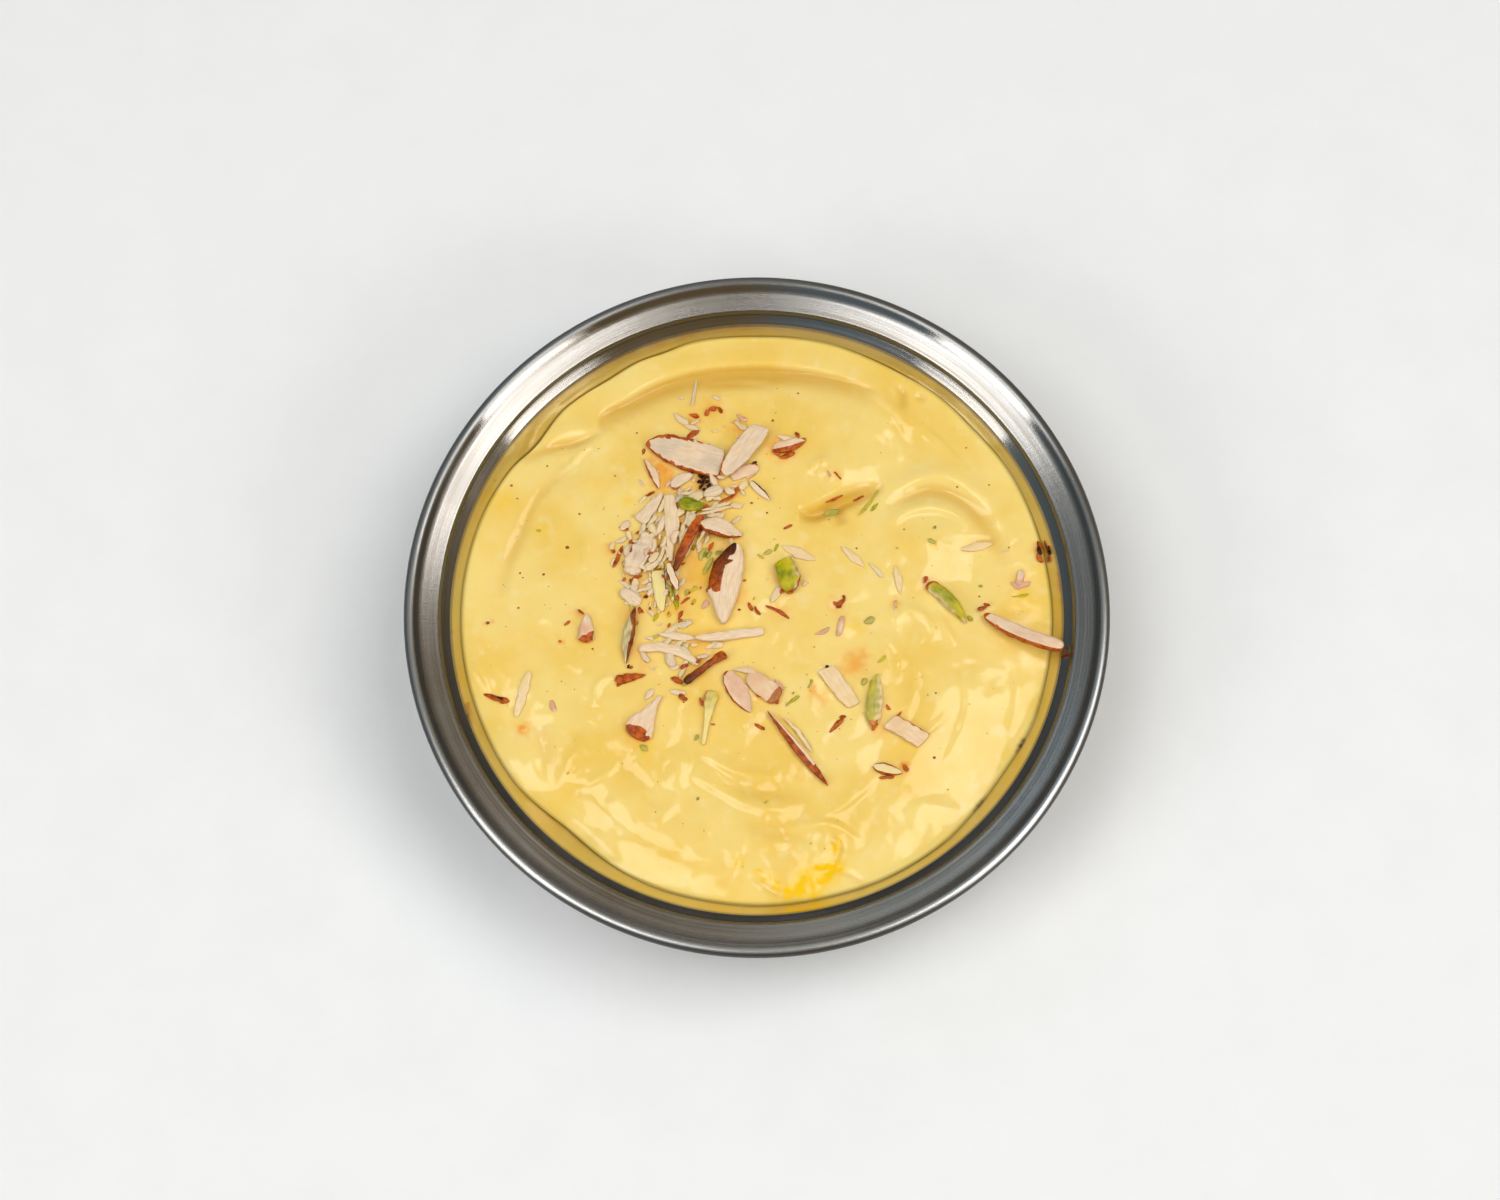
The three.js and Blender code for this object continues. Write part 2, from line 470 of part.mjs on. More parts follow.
// The slope that a sliver takes along its length: the edge of the convex hull over its support
// that passes over the sliver's middle, as a stiff rod rests on two humps.
function restingSlope(nut, length, turn) {
  const humps = [];
  const steps = 14;
  for (let k = 0; k <= steps; k++) {
    const along = (k / steps - 0.5) * length;
    const x = (nut.from[0] + nut.to[0]) / 2 + along * Math.cos(turn);
    const y = (nut.from[1] + nut.to[1]) / 2 + along * Math.sin(turn);
    humps.push([along, supportNear(cellOf(x), cellOf(y))]);
  }
  let best = { height: -Infinity, slope: 0 };
  for (const left of humps.filter(([u]) => u <= 0)) {
    for (const right of humps.filter(([u]) => u > 0)) {
      const slope = (right[1] - left[1]) / (right[0] - left[0]);
      const height = left[1] - left[0] * slope;
      if (height > best.height) best = { height, slope };
    }
  }
  return best.slope;
}

// Lays a sliver between its two ends and lowers it until it clears everything under it.
function layNut(nut, material) {
  const [dx, dy] = [nut.to[0] - nut.from[0], nut.to[1] - nut.from[1]];
  const turn = Math.atan2(dy, dx);
  const mesh = addMesh(nut.name, sliver(nut, Math.hypot(dx, dy)), material);
  mesh.rotation.set(0, -Math.atan(restingSlope(nut, Math.hypot(dx, dy), turn)), turn, 'ZYX');
  mesh.position.set((nut.from[0] + nut.to[0]) / 2, (nut.from[1] + nut.to[1]) / 2, 0);
  let lift = -Infinity;
  scanTriangles(mesh, (i, j, z) => {
    lift = Math.max(lift, supportNear(i, j) - z);
  });
  mesh.position.z = lift + touchGap;
  scanTriangles(mesh, (i, j, z) => {
    support[j * mapSize + i] = Math.max(support[j * mapSize + i], z);
  });
}

function nutMaterial(name) {
  if (name.startsWith('pistachio')) return pistachio;
  return name.includes('skin') ? almondSkin : almond;
}

addMesh('bowl', bowl(), steel);
addMesh('shrikhand', shrikhand(), cream);
fillSupport();
for (const nut of nuts) layNut(nut, nutMaterial(nut.name));

export default group;
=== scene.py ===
# Shrikhand in a flared steel bowl, topped with almond and pistachio slivers.
import math
import bpy
import numpy as np
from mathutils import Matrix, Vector


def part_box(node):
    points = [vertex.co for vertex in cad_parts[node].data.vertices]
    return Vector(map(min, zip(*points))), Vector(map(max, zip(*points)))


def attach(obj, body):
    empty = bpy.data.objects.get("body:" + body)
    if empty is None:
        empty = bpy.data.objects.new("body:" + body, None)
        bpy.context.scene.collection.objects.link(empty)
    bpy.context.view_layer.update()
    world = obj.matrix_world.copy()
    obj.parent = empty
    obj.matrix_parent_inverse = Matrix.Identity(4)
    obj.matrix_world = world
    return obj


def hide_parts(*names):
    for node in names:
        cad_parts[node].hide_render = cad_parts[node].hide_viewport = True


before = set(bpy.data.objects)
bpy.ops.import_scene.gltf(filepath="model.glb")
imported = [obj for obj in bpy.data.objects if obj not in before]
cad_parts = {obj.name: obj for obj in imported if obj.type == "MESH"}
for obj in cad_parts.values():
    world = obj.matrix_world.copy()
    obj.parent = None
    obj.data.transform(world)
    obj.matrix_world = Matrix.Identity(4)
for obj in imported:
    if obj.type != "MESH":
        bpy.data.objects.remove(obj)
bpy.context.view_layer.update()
scene = bpy.context.scene
mm = 0.001
rimRadius, _, rimTop = np.array(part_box("bowl")[1]) / mm


# camera, in metres and degrees
cameraSetup = {
    "target": (-0.001455, 0.001457, 0.038),
    "distance": 0.75,
    "tilt": 15.8,                 # away from straight down, towards -Y
    "lens": 84.9,
    "sensor": 36.0,
    "clipStart": 0.01,
}


def makeCamera(setup):
    tilt = math.radians(setup["tilt"])
    back = Vector((0.0, -math.sin(tilt), math.cos(tilt)))
    data = bpy.data.cameras.new("tableCamera")
    data.lens = setup["lens"]
    data.sensor_width = setup["sensor"]
    data.clip_start = setup["clipStart"]
    camera = bpy.data.objects.new("tableCamera", data)
    camera.location = Vector(setup["target"]) + back * setup["distance"]
    camera.rotation_euler = (tilt, 0.0, 0.0)
    scene.collection.objects.link(camera)
    scene.camera = camera


makeCamera(cameraSetup)
print("camera placed")


# meshes from arrays
def gridQuads(rows, columns, closed):
    # quads of a grid of points, row by row; a closed grid joins its last column to its first
    across = columns if closed else columns - 1
    i, j = np.meshgrid(np.arange(rows - 1), np.arange(across), indexing="ij")
    right = (j + 1) % columns
    here, after = i * columns, (i + 1) * columns
    return np.stack([here + j, here + right, after + right, after + j], -1).reshape(-1, 4)


def fanCaps(rows, columns):
    # triangles that close the first and last row on one extra point each, added after the grid
    j = np.arange(columns)
    right = (j + 1) % columns
    first = np.stack([np.full(columns, rows * columns), right, j], -1)
    last = (rows - 1) * columns
    return first, np.stack([np.full(columns, rows * columns + 1), last + j, last + right], -1)


def withPoles(points, layers, columns):
    # adds the two points that fanCaps closes on, each the mean of its row, to the points and layers
    ends = [points[:columns].mean(0), points[-columns:].mean(0)]
    layers = {name: np.append(v, [v[:columns].mean(), v[-columns:].mean()]) for name, v in layers.items()}
    return np.concatenate([points, ends]), layers


def meshFrom(name, points, faceSets, material, layers=None):
    # puts points in millimetres, sets of equal-sided faces and per-point layers into a new object
    mesh = bpy.data.meshes.new(name)
    mesh.vertices.add(len(points))
    mesh.vertices.foreach_set("co", (np.asarray(points, np.float32) * mm).ravel())
    sides = np.concatenate([np.full(len(faces), faces.shape[1]) for faces in faceSets])
    corners = np.concatenate([faces.ravel() for faces in faceSets])
    mesh.loops.add(len(corners))
    mesh.loops.foreach_set("vertex_index", corners.astype(np.int32))
    mesh.polygons.add(len(sides))
    mesh.polygons.foreach_set("loop_start", (np.cumsum(sides) - sides).astype(np.int32))
    mesh.polygons.foreach_set("use_smooth", np.ones(len(sides), bool))
    mesh.update(calc_edges=True)
    mesh.validate()
    for layer, values in (layers or {}).items():
        attribute = mesh.attributes.new(layer, "FLOAT", "POINT")
        attribute.data.foreach_set("value", np.asarray(values, np.float32))
    mesh.materials.append(material)
    piece = bpy.data.objects.new(name, mesh)
    scene.collection.objects.link(piece)
    return piece


# material maths
class Wire:
    # an output socket of a material, with arithmetic that adds Math nodes
    def __init__(self, maker, socket):
        self.maker = maker
        self.socket = socket

    def math(self, operation, first, second):
        return self.maker.add("ShaderNodeMath", {"operation": operation}, [first, second])

    def __add__(self, other):
        return self.math("ADD", self, other)

    def __sub__(self, other):
        return self.math("SUBTRACT", self, other)

    def __rsub__(self, other):
        return self.math("SUBTRACT", other, self)

    def __mul__(self, other):
        return self.math("MULTIPLY", self, other)

    def __truediv__(self, other):
        return self.math("DIVIDE", self, other)

    def __pow__(self, other):
        return self.math("POWER", self, other)

    __radd__ = __add__
    __rmul__ = __mul__

    def ramp(self, low, high):
        # 0 at low and below, 1 at high and above, smooth between
        return self.maker.add("ShaderNodeMapRange", {"interpolation_type": "SMOOTHSTEP"},
                              {"Value": self, "From Min": low, "From Max": high})

    def band(self, start, full, leave, end):
        # 1 from full to leave, smooth to 0 at start and end
        return self.ramp(start, full) * (1 - self.ramp(leave, end))


class Maker:
    # builds one material's nodes
    def __init__(self, name, family=bpy.data.materials, shader="Principled BSDF"):
        self.material = family.new(name)
        self.material.use_nodes = True
        self.nodes = self.material.node_tree.nodes
        self.links = self.material.node_tree.links
        self.shader = self.nodes[shader]

    def plug(self, socket, value):
        if isinstance(value, Wire):
            self.links.new(value.socket, socket)
        elif isinstance(value, tuple) and len(value) == 3 and socket.type == "RGBA":
            socket.default_value = (*value, 1.0)
        else:
            socket.default_value = value

    def add(self, kind, settings=None, inputs=(), output=0):
        node = self.nodes.new(kind)
        for key, value in (settings or {}).items():
            setattr(node, key, value)
        pairs = inputs.items() if isinstance(inputs, dict) else enumerate(inputs)
        for key, value in pairs:
            self.plug(node.inputs[key], value)
        return Wire(self, node.outputs[output])

    def mix(self, factor, low, high):
        # inputs 6 and 7 and output 2 of a Mix node are its colours
        return self.add("ShaderNodeMix", {"data_type": "RGBA"}, {0: factor, 6: low, 7: high}, 2)

    def place(self):
        return self.add("ShaderNodeTexCoord", output="Object")

    def layer(self, name):
        return self.add("ShaderNodeAttribute", {"attribute_name": name}, output="Fac")

    def vector(self, x, y, z):
        return self.add("ShaderNodeCombineXYZ", inputs=[x, y, z])

    def split(self, wire):
        node = self.nodes.new("ShaderNodeSeparateXYZ")
        self.links.new(wire.socket, node.inputs[0])
        return [Wire(self, socket) for socket in node.outputs]

    def stretch(self, wire, scale):
        return self.add("ShaderNodeVectorMath", {"operation": "MULTIPLY"}, [wire, scale])

    def noise(self, where, scale, detail=2.0, roughness=0.5):
        inputs = {"Vector": where, "Scale": scale, "Detail": detail, "Roughness": roughness}
        return self.add("ShaderNodeTexNoise", inputs=inputs)

    def bump(self, height, distance, strength=1.0, normal=None):
        inputs = {"Height": height, "Distance": distance, "Strength": strength}
        if normal:
            inputs["Normal"] = normal
        return self.add("ShaderNodeBump", inputs=inputs)

    def set(self, **values):
        for name, value in values.items():
            self.plug(self.shader.inputs[name.replace("_", " ")], value)


def linear(hexes):
    # named linear colours from named sRGB hex strings
    values = np.array([[int(h[k:k + 2], 16) / 255 for k in (0, 2, 4)] for h in hexes.values()])
    flat = np.where(values <= 0.04045, values / 12.92, ((values + 0.055) / 1.055) ** 2.4)
    return {name: tuple(float(v) for v in row) for name, row in zip(hexes, flat)}


# the steel bowl, in mm and degrees
bowlShape = {
    "sheet": 0.8,                 # thickness of the steel
    "poleGap": 0.4,               # radius of the first ring round the axis
    "wallSlope": 57.2,            # from level
    "bandSlope": 30.0,            # the narrow band outside the wall
    "flangeSlope": 16.0,
    "wallTop": (65.35, 33.28),    # inside, where the wall starts to bend outwards: radius, height
    "shoulder": 0.6,              # inside radius of that bend
    "bandEnd": 67.1,              # radius where the band ends at a small step
    "flangeStart": (67.8, 35.4),  # radius and height where the step meets the flange
    "corner": 18.0,               # inside radius between the base and the wall
    "flangeEnd": 71.2,            # radius where the flange starts to curve up into the rolled rim
    "bead": 1.3,                  # section radius of the rolled rim
    "drop": 1.0,                  # how far its top stays under the CAD bowl's
    "meet": 125.0,                # angle on the section of the rolled rim where the flange runs into it
    "roll": 256.0,                # how far round that section the sheet is rolled from there
    "turns": 360,                 # facets around
    # spun rings in the flange: radius, height, width
    "rings": [(68.5, -0.03, 0.25), (69.7, 0.02, 0.3), (70.7, -0.015, 0.3)],
}


def tangent(degrees):
    return math.tan(math.radians(degrees))


def wallRadius(z):
    # inside radius of the straight wall at a height
    top = bowlShape["wallTop"]
    return top[0] - (top[1] - z) / tangent(bowlShape["wallSlope"])


def arc(centre, radius, start, end, count):
    angles = np.radians(np.linspace(start, end, count))
    return np.stack([centre[0] + radius * np.cos(angles), centre[1] + radius * np.sin(angles)], -1)


def steelFace(offset):
    # one face of the sheet from the axis to the band: level base, corner arc, wall, bend
    s = bowlShape
    slope, flare = s["wallSlope"], s["bandSlope"]
    wall, bend = math.radians(slope), s["wallTop"]
    cornerEnd = s["sheet"] + s["corner"] * (1 - math.cos(wall))
    corner = (wallRadius(cornerEnd) - s["corner"] * math.sin(wall), s["sheet"] + s["corner"])
    shoulder = (bend[0] + s["shoulder"] * math.sin(wall), bend[1] - s["shoulder"] * math.cos(wall))
    radii = np.linspace(s["poleGap"], corner[0] - 0.6, 12)
    base = np.stack([radii, np.full(len(radii), corner[1] - s["corner"] - offset)], -1)
    rounded = arc(corner, s["corner"] + offset, -90, slope - 90, 16)
    turned = arc(shoulder, s["shoulder"] - offset, 90 + slope, 90 + flare, 9)
    share = np.linspace(0, 1, 16)[1:-1, None]
    return np.concatenate([base, rounded, rounded[-1] * (1 - share) + turned[0] * share, turned])


def bowlProfile():
    # inside face outwards, band, step, flange and the curl into the bead, a quadratic curve; the bead over
    # and under, and the outside face back to the axis
    s = bowlShape
    inside, outside = steelFace(0.0), steelFace(s["sheet"])
    bead = (rimRadius - s["bead"], rimTop - s["bead"] - s["drop"])
    bandRise = (s["bandEnd"] - inside[-1][0]) * tangent(s["bandSlope"])
    ledge = np.array([s["bandEnd"], inside[-1][1] + bandRise])
    bend = np.array(s["flangeStart"])
    flange = bend + np.array([1, tangent(s["flangeSlope"])]) * (s["flangeEnd"] - bend[0])
    rolled = arc(bead, s["bead"], s["meet"], s["meet"] - s["roll"], 26)
    steep, flat = tangent(s["meet"] - 90), tangent(s["flangeSlope"])
    away = rolled[0] - flange
    turn = (away[1] - steep * away[0]) / (flat - steep)
    control = flange + turn * np.array([1, flat])
    share = np.linspace(0, 1, 52)[1:, None]
    few, some, more = share[::8], share[::5], share[::4]
    band = inside[-1] * (1 - few) + ledge * few
    step = ledge + (bend - ledge) * np.concatenate([some, some ** 2 * (3 - 2 * some)], 1)
    curl = flange * (1 - more) ** 2 + control * 2 * more * (1 - more) + rolled[0] * more ** 2
    top = np.concatenate([band, step[:-1], bend * (1 - share) + flange * share, curl[:-1]])
    for radius, height, width in s["rings"]:
        top[:, 1] += height * np.exp(-((top[:, 0] - radius) / width) ** 2)
    back = some[::-1][1:]
    under = outside[-1] * back + rolled[-1] * (1 - back)
    return np.concatenate([inside, top, rolled, under, outside[::-1]])


def revolve(name, profile, turns, material):
    # a profile of radius and height turned about Z; both of its ends are closed on the axis
    angles = np.linspace(0, 2 * np.pi, turns, endpoint=False)
    ring = np.stack([np.cos(angles), np.sin(angles)], -1)
    flat = profile[:, None, :1] * ring[None]
    height = np.broadcast_to(profile[:, None, 1:], (*flat.shape[:2], 1))
    points = np.concatenate([flat, height], -1).reshape(-1, 3)
    poles = [[0, 0, profile[0][1]], [0, 0, profile[-1][1]]]
    faces = [gridQuads(len(profile), turns, True), *fanCaps(len(profile), turns)]
    return meshFrom(name, np.concatenate([points, poles]), [part[:, ::-1] for part in faces], material)


# where the steel changes its look: radii in mm between which each zone fades in, and out again
steelLook = {
    "golden": (64.8, 65.2),             # up to here the wall is tinted by the cream that it mirrors
    "goldenDepth": (0.2, 0.45),         # distance from its inside face over which the tint ends
    "goldenHeight": (22.0, 24.0),
    # painted shade in the small step
    "step": (67.0, 67.2, 67.6, 67.8),
    "flange": (67.5, 68.0, 71.4, 72.2),
    "bead": (72.6, 73.2),
    # painted dark reflection on the outermost part of the bead
    "edge": (74.0, 74.6),               # the outermost part of the bead
    "colours": {"steel": "a09d99", "warm": "948e86", "golden": "d8cca4", "step": "6c6b69", "bead": "b0b0ae",
                "edge": "5c5a57"},
}


def steelMaterial(look):
    # fine turned lines around, fine scratches across the flange, a little wear and dull film; the cream's
    # reflection painted on the wall, painted shade in the small step and a painted dark reflection on the
    # bead
    make = Maker("spunSteel")
    x, y, z = make.split(make.stretch(make.place(), (1 / mm, 1 / mm, 1 / mm)))
    r = (x * x + y * y) ** 0.5
    cosine, sine = x / (r + 0.01), y / (r + 0.01)
    around = make.noise(make.vector(cosine * 1.6, sine * 1.6, r * 3.2 + z * 2.1), 1.0, 4.0, 0.65)
    broad = make.noise(make.vector(cosine * 1.1, sine * 1.1, r * 0.55 + z * 0.4), 1.0, 2.0)
    across = make.noise(make.vector(cosine * 190.0, sine * 190.0, r * 0.16), 1.0, 3.0, 0.6)
    film = make.noise(make.place(), 38.0, 4.0, 0.6)
    onFlange, onBead = r.band(*look["flange"]), r.ramp(*look["bead"])
    wallTop, wallHeight = bowlShape["wallTop"]
    fromWall = r - (wallTop - (wallHeight - z) / tangent(bowlShape["wallSlope"]))
    inBowl = (1 - r.ramp(*look["golden"])) * (1 - fromWall.ramp(*look["goldenDepth"]))
    colour = linear(look["colours"])
    tint = make.mix(broad.ramp(0.35, 0.7), colour["steel"], colour["warm"])
    tint = make.mix(inBowl * z.ramp(*look["goldenHeight"]), tint, colour["golden"])
    # painted shade in the small step
    tint = make.mix(r.band(*look["step"]), tint, colour["step"])
    # the bead, with a painted dark reflection on its outermost part
    tint = make.mix(onBead, tint, make.mix(r.ramp(*look["edge"]), colour["bead"], colour["edge"]))
    # painted dark reflection: the bead is darker at the back
    tint = make.mix(onBead * (y / r).ramp(-0.1, 0.5) * 0.6, tint, colour["edge"])
    wear = film.ramp(0.35, 0.75) * 0.06 + around.ramp(0.4, 0.7) * 0.05
    make.set(Base_Color=tint, Metallic=1.0, Roughness=0.11 + onFlange * 0.14 + onBead * 0.16 + wear,
             Anisotropic=0.85, Anisotropic_Rotation=0.25,
             Normal=make.bump(around * 0.7 + across * onFlange * 0.55, 0.00003, 0.55))
    return make.material


bowl = revolve("steelBowl", bowlProfile(), bowlShape["turns"], steelMaterial(steelLook))
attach(bowl, "root")
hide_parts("bowl")
print("bowl turned")


# the cream's surface, in mm
creamShape = {
    "level": 30.1,                # where it usually meets the wall
    "northRise": 0.7,             # how much higher it stands at +Y, and lower at -Y,
    "northReach": 63.0,           # this far from the middle
    "crown": 1.5,                 # how much the middle stands above the edge
    "fallWidth": 3.0,             # width of the rounded edge
    "lowShare": 0.75,             # how much of a dip in its edge the surface follows
    "lowWidth": 14.0,             # and how far in
    "strokeGain": 1.15,           # all strokes are this much higher than listed
    # swell of the whole surface: length, seed, height
    "swells": [(17.0, 3, 0.13), (7.0, 5, 0.07), (3.2, 8, 0.018)],
    "overlap": 1.002,             # its edge reaches this much into the steel
    "sideTop": 22.0,              # under this height its side follows the wall
    "sideGap": 0.1,               # and stays this far off it
    "edgeBell": (8, 2.6),         # degrees over which the level at the wall is smoothed: reach, width
    # painted shade in the furrows: strokes this deep get all of it
    "hollowDepth": 1.1,           # strokes this deep take the full colour of a furrow
    "creviceReach": 0.8,          # how far from the wall the cream is shaded
    "wander": (2.4, 0.5),         # how the stains' outlines wander: length of the waves, share
    "cells": 280,                 # grid cells across
}

# the level of the cream against the wall: angle from +X, height in mm
edgeLevels = [(0, 30.2), (10, 30), (20, 30.4), (30, 30.9), (43, 29.8), (51, 30.6), (60, 30.1), (68, 30.4),
              (76, 31.1), (90, 30.4), (103, 31), (108, 29.8), (114, 30.2), (121, 29.2), (132, 29.7),
              (141, 27.6), (147, 29.4), (160, 30.3), (180, 30.5), (190, 30.1), (201, 29.7), (211, 29.6),
              (217, 29.2), (222, 27.5), (228, 25.8), (234, 26.4), (241, 27.9), (251, 28.9), (262, 28.8),
              (270, 29.4), (284, 29.2), (296, 30.3), (308, 30.5), (316, 28.9), (327, 28.4), (337, 30.1),
              (348, 29.8)]

# broad swells and dips of the surface: x, y, height, radius
creamMounds = [(18, 42, 1, 12), (-14, 20, 0.7, 20), (33, 36, -0.8, 7), (18.5, 32.5, 0.9, 5),
               (36, 16, 0.9, 6), (46, 8, -0.9, 7), (53, -33, -1.2, 11), (40, -18, 0.6, 10),
               (-28, -28, 0.6, 10), (2, -46, 0.6, 9), (56, 14, 0.5, 8), (-54, -24, -0.5, 7)]

# strokes of the spoon: points in mm, height, and width on the left and on the right of the line
creamStrokes = [
    # the ring along the far wall, and the furrow inside it
    ([(-33, 41), (-33, 45), (-28, 48), (-20, 52.3), (-10, 54.9), (0, 55.5), (10, 54.8), (20, 52.6),
      (27, 49.6)], -1.3, 0.9, 3.2),
    ([(-12, 51.8), (-4, 52.2), (4, 51.6)], -0.25, 0.8, 1.2),
    ([(-40, 50), (-20, 57.5), (0, 59.5), (20, 56.8)], 0.4, 3.0, 3.0),
    # the fold at the far right
    ([(21, 58.4), (28, 55.6), (31.6, 54.4), (33, 52.4), (32.4, 48)], 0.5, 1.6, 0.7),
    ([(32.5, 53.4), (36, 51.2), (40.5, 48.8)], 0.5, 0.8, 1.4),
    ([(31.2, 52), (32, 49.5), (31.6, 46.5)], -0.7, 1.1, 1.1),
    ([(34.5, 49.6), (37, 48.6)], -0.5, 0.9, 0.9),
    ([(24, 50.4), (28, 47.4), (31, 44.4), (32.6, 40)], 0.35, 1.6, 0.7),
    ([(33, 43.8), (37.6, 41), (41.6, 37), (47, 30.4)], 0.35, 0.7, 2.2),
    ([(29, 42.5), (31, 38), (31, 33)], 0.25, 1.2, 1.2),
    # the swirl on the right
    ([(28.5, 24.4), (32.5, 29), (38, 31.3), (43, 30.2), (50, 25), (55, 16)], 0.7, 2.6, 1.4),
    ([(28, 24), (32.5, 26.8), (37.5, 28.2), (43.5, 26), (49, 20.4), (53.5, 11)], -0.75, 1.8, 1.8),
    ([(29, 20), (31.5, 22.6), (36, 24), (41.5, 23.2), (46, 20)], 0.5, 1.6, 1.1),
    ([(44, 15), (48, 16.9), (51.5, 16.3)], -0.3, 0.9, 0.9),
    # the lump and the crevice under it
    ([(9, 22.2), (13, 22.6), (17, 24.6), (21, 26.2), (27.5, 29)], -1.7, 1.5, 1.5),
    ([(17, 24.6), (18.6, 20)], -0.7, 1.3, 1.3),
    ([(11.5, 31.5), (13, 33.8), (17, 34.4)], 0.3, 1.0, 0.8),
    # folds at the far left
    ([(-51, 35.2), (-45, 38), (-38, 39.2), (-33, 41)], -0.75, 1.1, 1.3),
    ([(-47, 41), (-41, 42.4), (-36, 43)], 0.45, 1.8, 1.8),
    ([(-47, 35.6), (-40, 36.6), (-35, 39.6), (-32.4, 40.6)], 0.35, 0.8, 1.2),
    ([(-43.4, 31), (-38.6, 35.6), (-35.6, 38.4)], 0.35, 0.7, 0.7),
    ([(-40, 31.4), (-39.2, 34), (-40, 36.4)], 0.25, 0.5, 0.5),
    ([(-40, 35), (-45.4, 28), (-49.6, 20.5), (-53, 12), (-55, 4)], -0.45, 1.3, 1.8),
    ([(-43, 30.4), (-47, 24.4), (-49, 20)], 0.25, 0.8, 0.8),
    ([(-52, 32), (-57.5, 20), (-60, 6)], 0.35, 2.2, 2.2),
    ([(-34, 33), (-41, 24), (-45, 12), (-46, -6)], 0.25, 3.0, 3.0),
    ([(-37, 20), (-37, 10)], 0.2, 1.2, 0.7),
    # folds on the near left
    ([(-61, -8), (-58, -13.2), (-56, -17)], 0.5, 1.2, 0.8),
    ([(-58.4, -18.4), (-57.2, -26), (-53.6, -32)], 0.25, 1.8, 1.4),
    ([(-49.6, -25.6), (-48, -31), (-46, -36.4), (-43.4, -40.4)], 0.32, 2.4, 1.6),
    ([(-43, -40.4), (-41.4, -35.4), (-38.4, -29.4), (-35, -24.6)], 0.3, 1.0, 2.2),
    ([(-45.8, -22), (-45, -30), (-43.6, -37.6)], -0.3, 2.2, 2.2),
    ([(-41.4, -35.9), (-36, -36.5), (-32, -34.9), (-29, -31.6)], 0.28, 2.0, 0.7),
    ([(-38.8, -35.6), (-37.4, -33)], 0.2, 0.5, 0.5),
    ([(-36, -36.5), (-31.6, -42.4), (-23.4, -47.4), (-13.4, -51.8), (-5, -55)], 0.75, 7.0, 2.8),
    ([(-36, -46), (-29, -50.4), (-21, -54)], 0.15, 1.4, 1.4),
    ([(-29.5, -31.8), (-26, -36), (-20, -41)], -0.3, 2.6, 1.8),
    ([(-26, -32), (-23.4, -34.4), (-21, -37)], 0.2, 1.2, 0.9),
    ([(-17.6, -29), (-16.4, -33), (-17.8, -38)], 0.55, 2.6, 2.6),
    ([(-25.6, -37.4), (-23, -41.2), (-19.4, -42.8), (-16.4, -38.4)], 0.18, 0.7, 1.4),
    ([(-34.4, -20), (-34, -15.4), (-30.6, -13)], 0.35, 0.7, 1.1),
    # arcs on the near side
    ([(-11.6, -30), (-7, -33), (-2, -35), (5, -35.4)], 0.45, 1.6, 0.8),
    ([(-14, -34.6), (-8, -38), (-1, -41.6), (7, -42.6)], 0.4, 2.0, 0.9),
    ([(-9, -36.4), (0, -38.6), (12, -39.6)], -0.35, 1.6, 1.6),
    ([(13.6, -43.4), (18, -41.6), (22, -38.6), (25.6, -35)], 0.3, 2.0, 0.6),
    ([(5, -46.8), (12, -45.2), (17, -45.8), (22, -49.4)], 0.4, 0.8, 1.6),
    ([(-6, -45), (4, -47.6), (11, -48.4)], -0.25, 2.0, 1.4),
    ([(15.4, -47.6), (17.2, -50), (16.4, -53.6)], -0.4, 0.9, 0.9),
    ([(-1, -56.8), (4, -60), (10, -61.4)], -0.4, 1.0, 1.0),
    ([(12, -55.4), (18, -55.4), (23.4, -58.6)], -0.3, 0.8, 0.8),
    # marks on the near right
    ([(33.7, -11), (33.4, -17), (31.4, -23.4)], 0.35, 0.7, 1.4),
    ([(28.6, -1.4), (32.6, 1), (36.6, -1.4), (37.8, -5.4)], 0.4, 1.2, 0.9),
    ([(27.4, -4.6), (30, -8), (30.6, -12)], 0.3, 1.4, 0.7),
    ([(38.4, 1), (40.6, -3), (42.4, -6.6)], 0.35, 0.7, 1.3),
    ([(44.6, -11), (44.4, -22), (38, -36)], 0.35, 4.0, 1.0),
    ([(54.6, -8), (55.4, -18), (53.4, -27)], 0.3, 1.2, 1.2),
    ([(34, -27), (38, -24), (41, -20.4)], 0.2, 0.7, 0.7),
    ([(31, -43), (36, -41), (43, -42.4)], 0.4, 1.0, 2.4),
]


def smoothLine(points, steps=8):
    # a Catmull-Rom curve through the points
    p = np.array(points, float)
    p = np.concatenate([[2 * p[0] - p[1]], p, [2 * p[-1] - p[-2]]])
    t = np.linspace(0, 1, steps, endpoint=False)[:, None]
    parts = []
    for a, b, c, d in zip(p[:-3], p[1:-2], p[2:-1], p[3:]):
        bend, twist = 2 * a - 5 * b + 4 * c - d, 3 * b - a - 3 * c + d
        parts.append(0.5 * (2 * b + (c - a) * t + bend * t ** 2 + twist * t ** 3))
    return np.concatenate([*parts, [p[-2]]])


def nearLine(line, x, y):
    # signed distance from every point to the line (left is positive) and how far along it, 0 to 1
    best = np.full(x.shape, np.inf)
    along = np.zeros(x.shape)
    side = np.ones(x.shape)
    for i, ((ax, ay), (bx, by)) in enumerate(zip(line[:-1], line[1:])):
        dx, dy = bx - ax, by - ay
        t = np.clip(((x - ax) * dx + (y - ay) * dy) / (dx * dx + dy * dy), 0, 1)
        distance = np.hypot(x - ax - t * dx, y - ay - t * dy)
        closer = distance < best
        best = np.where(closer, distance, best)
        along = np.where(closer, (i + t) / (len(line) - 1), along)
        side = np.where(closer, np.where(dx * (y - ay) - dy * (x - ax) >= 0, 1.0, -1.0), side)
    return best * side, along


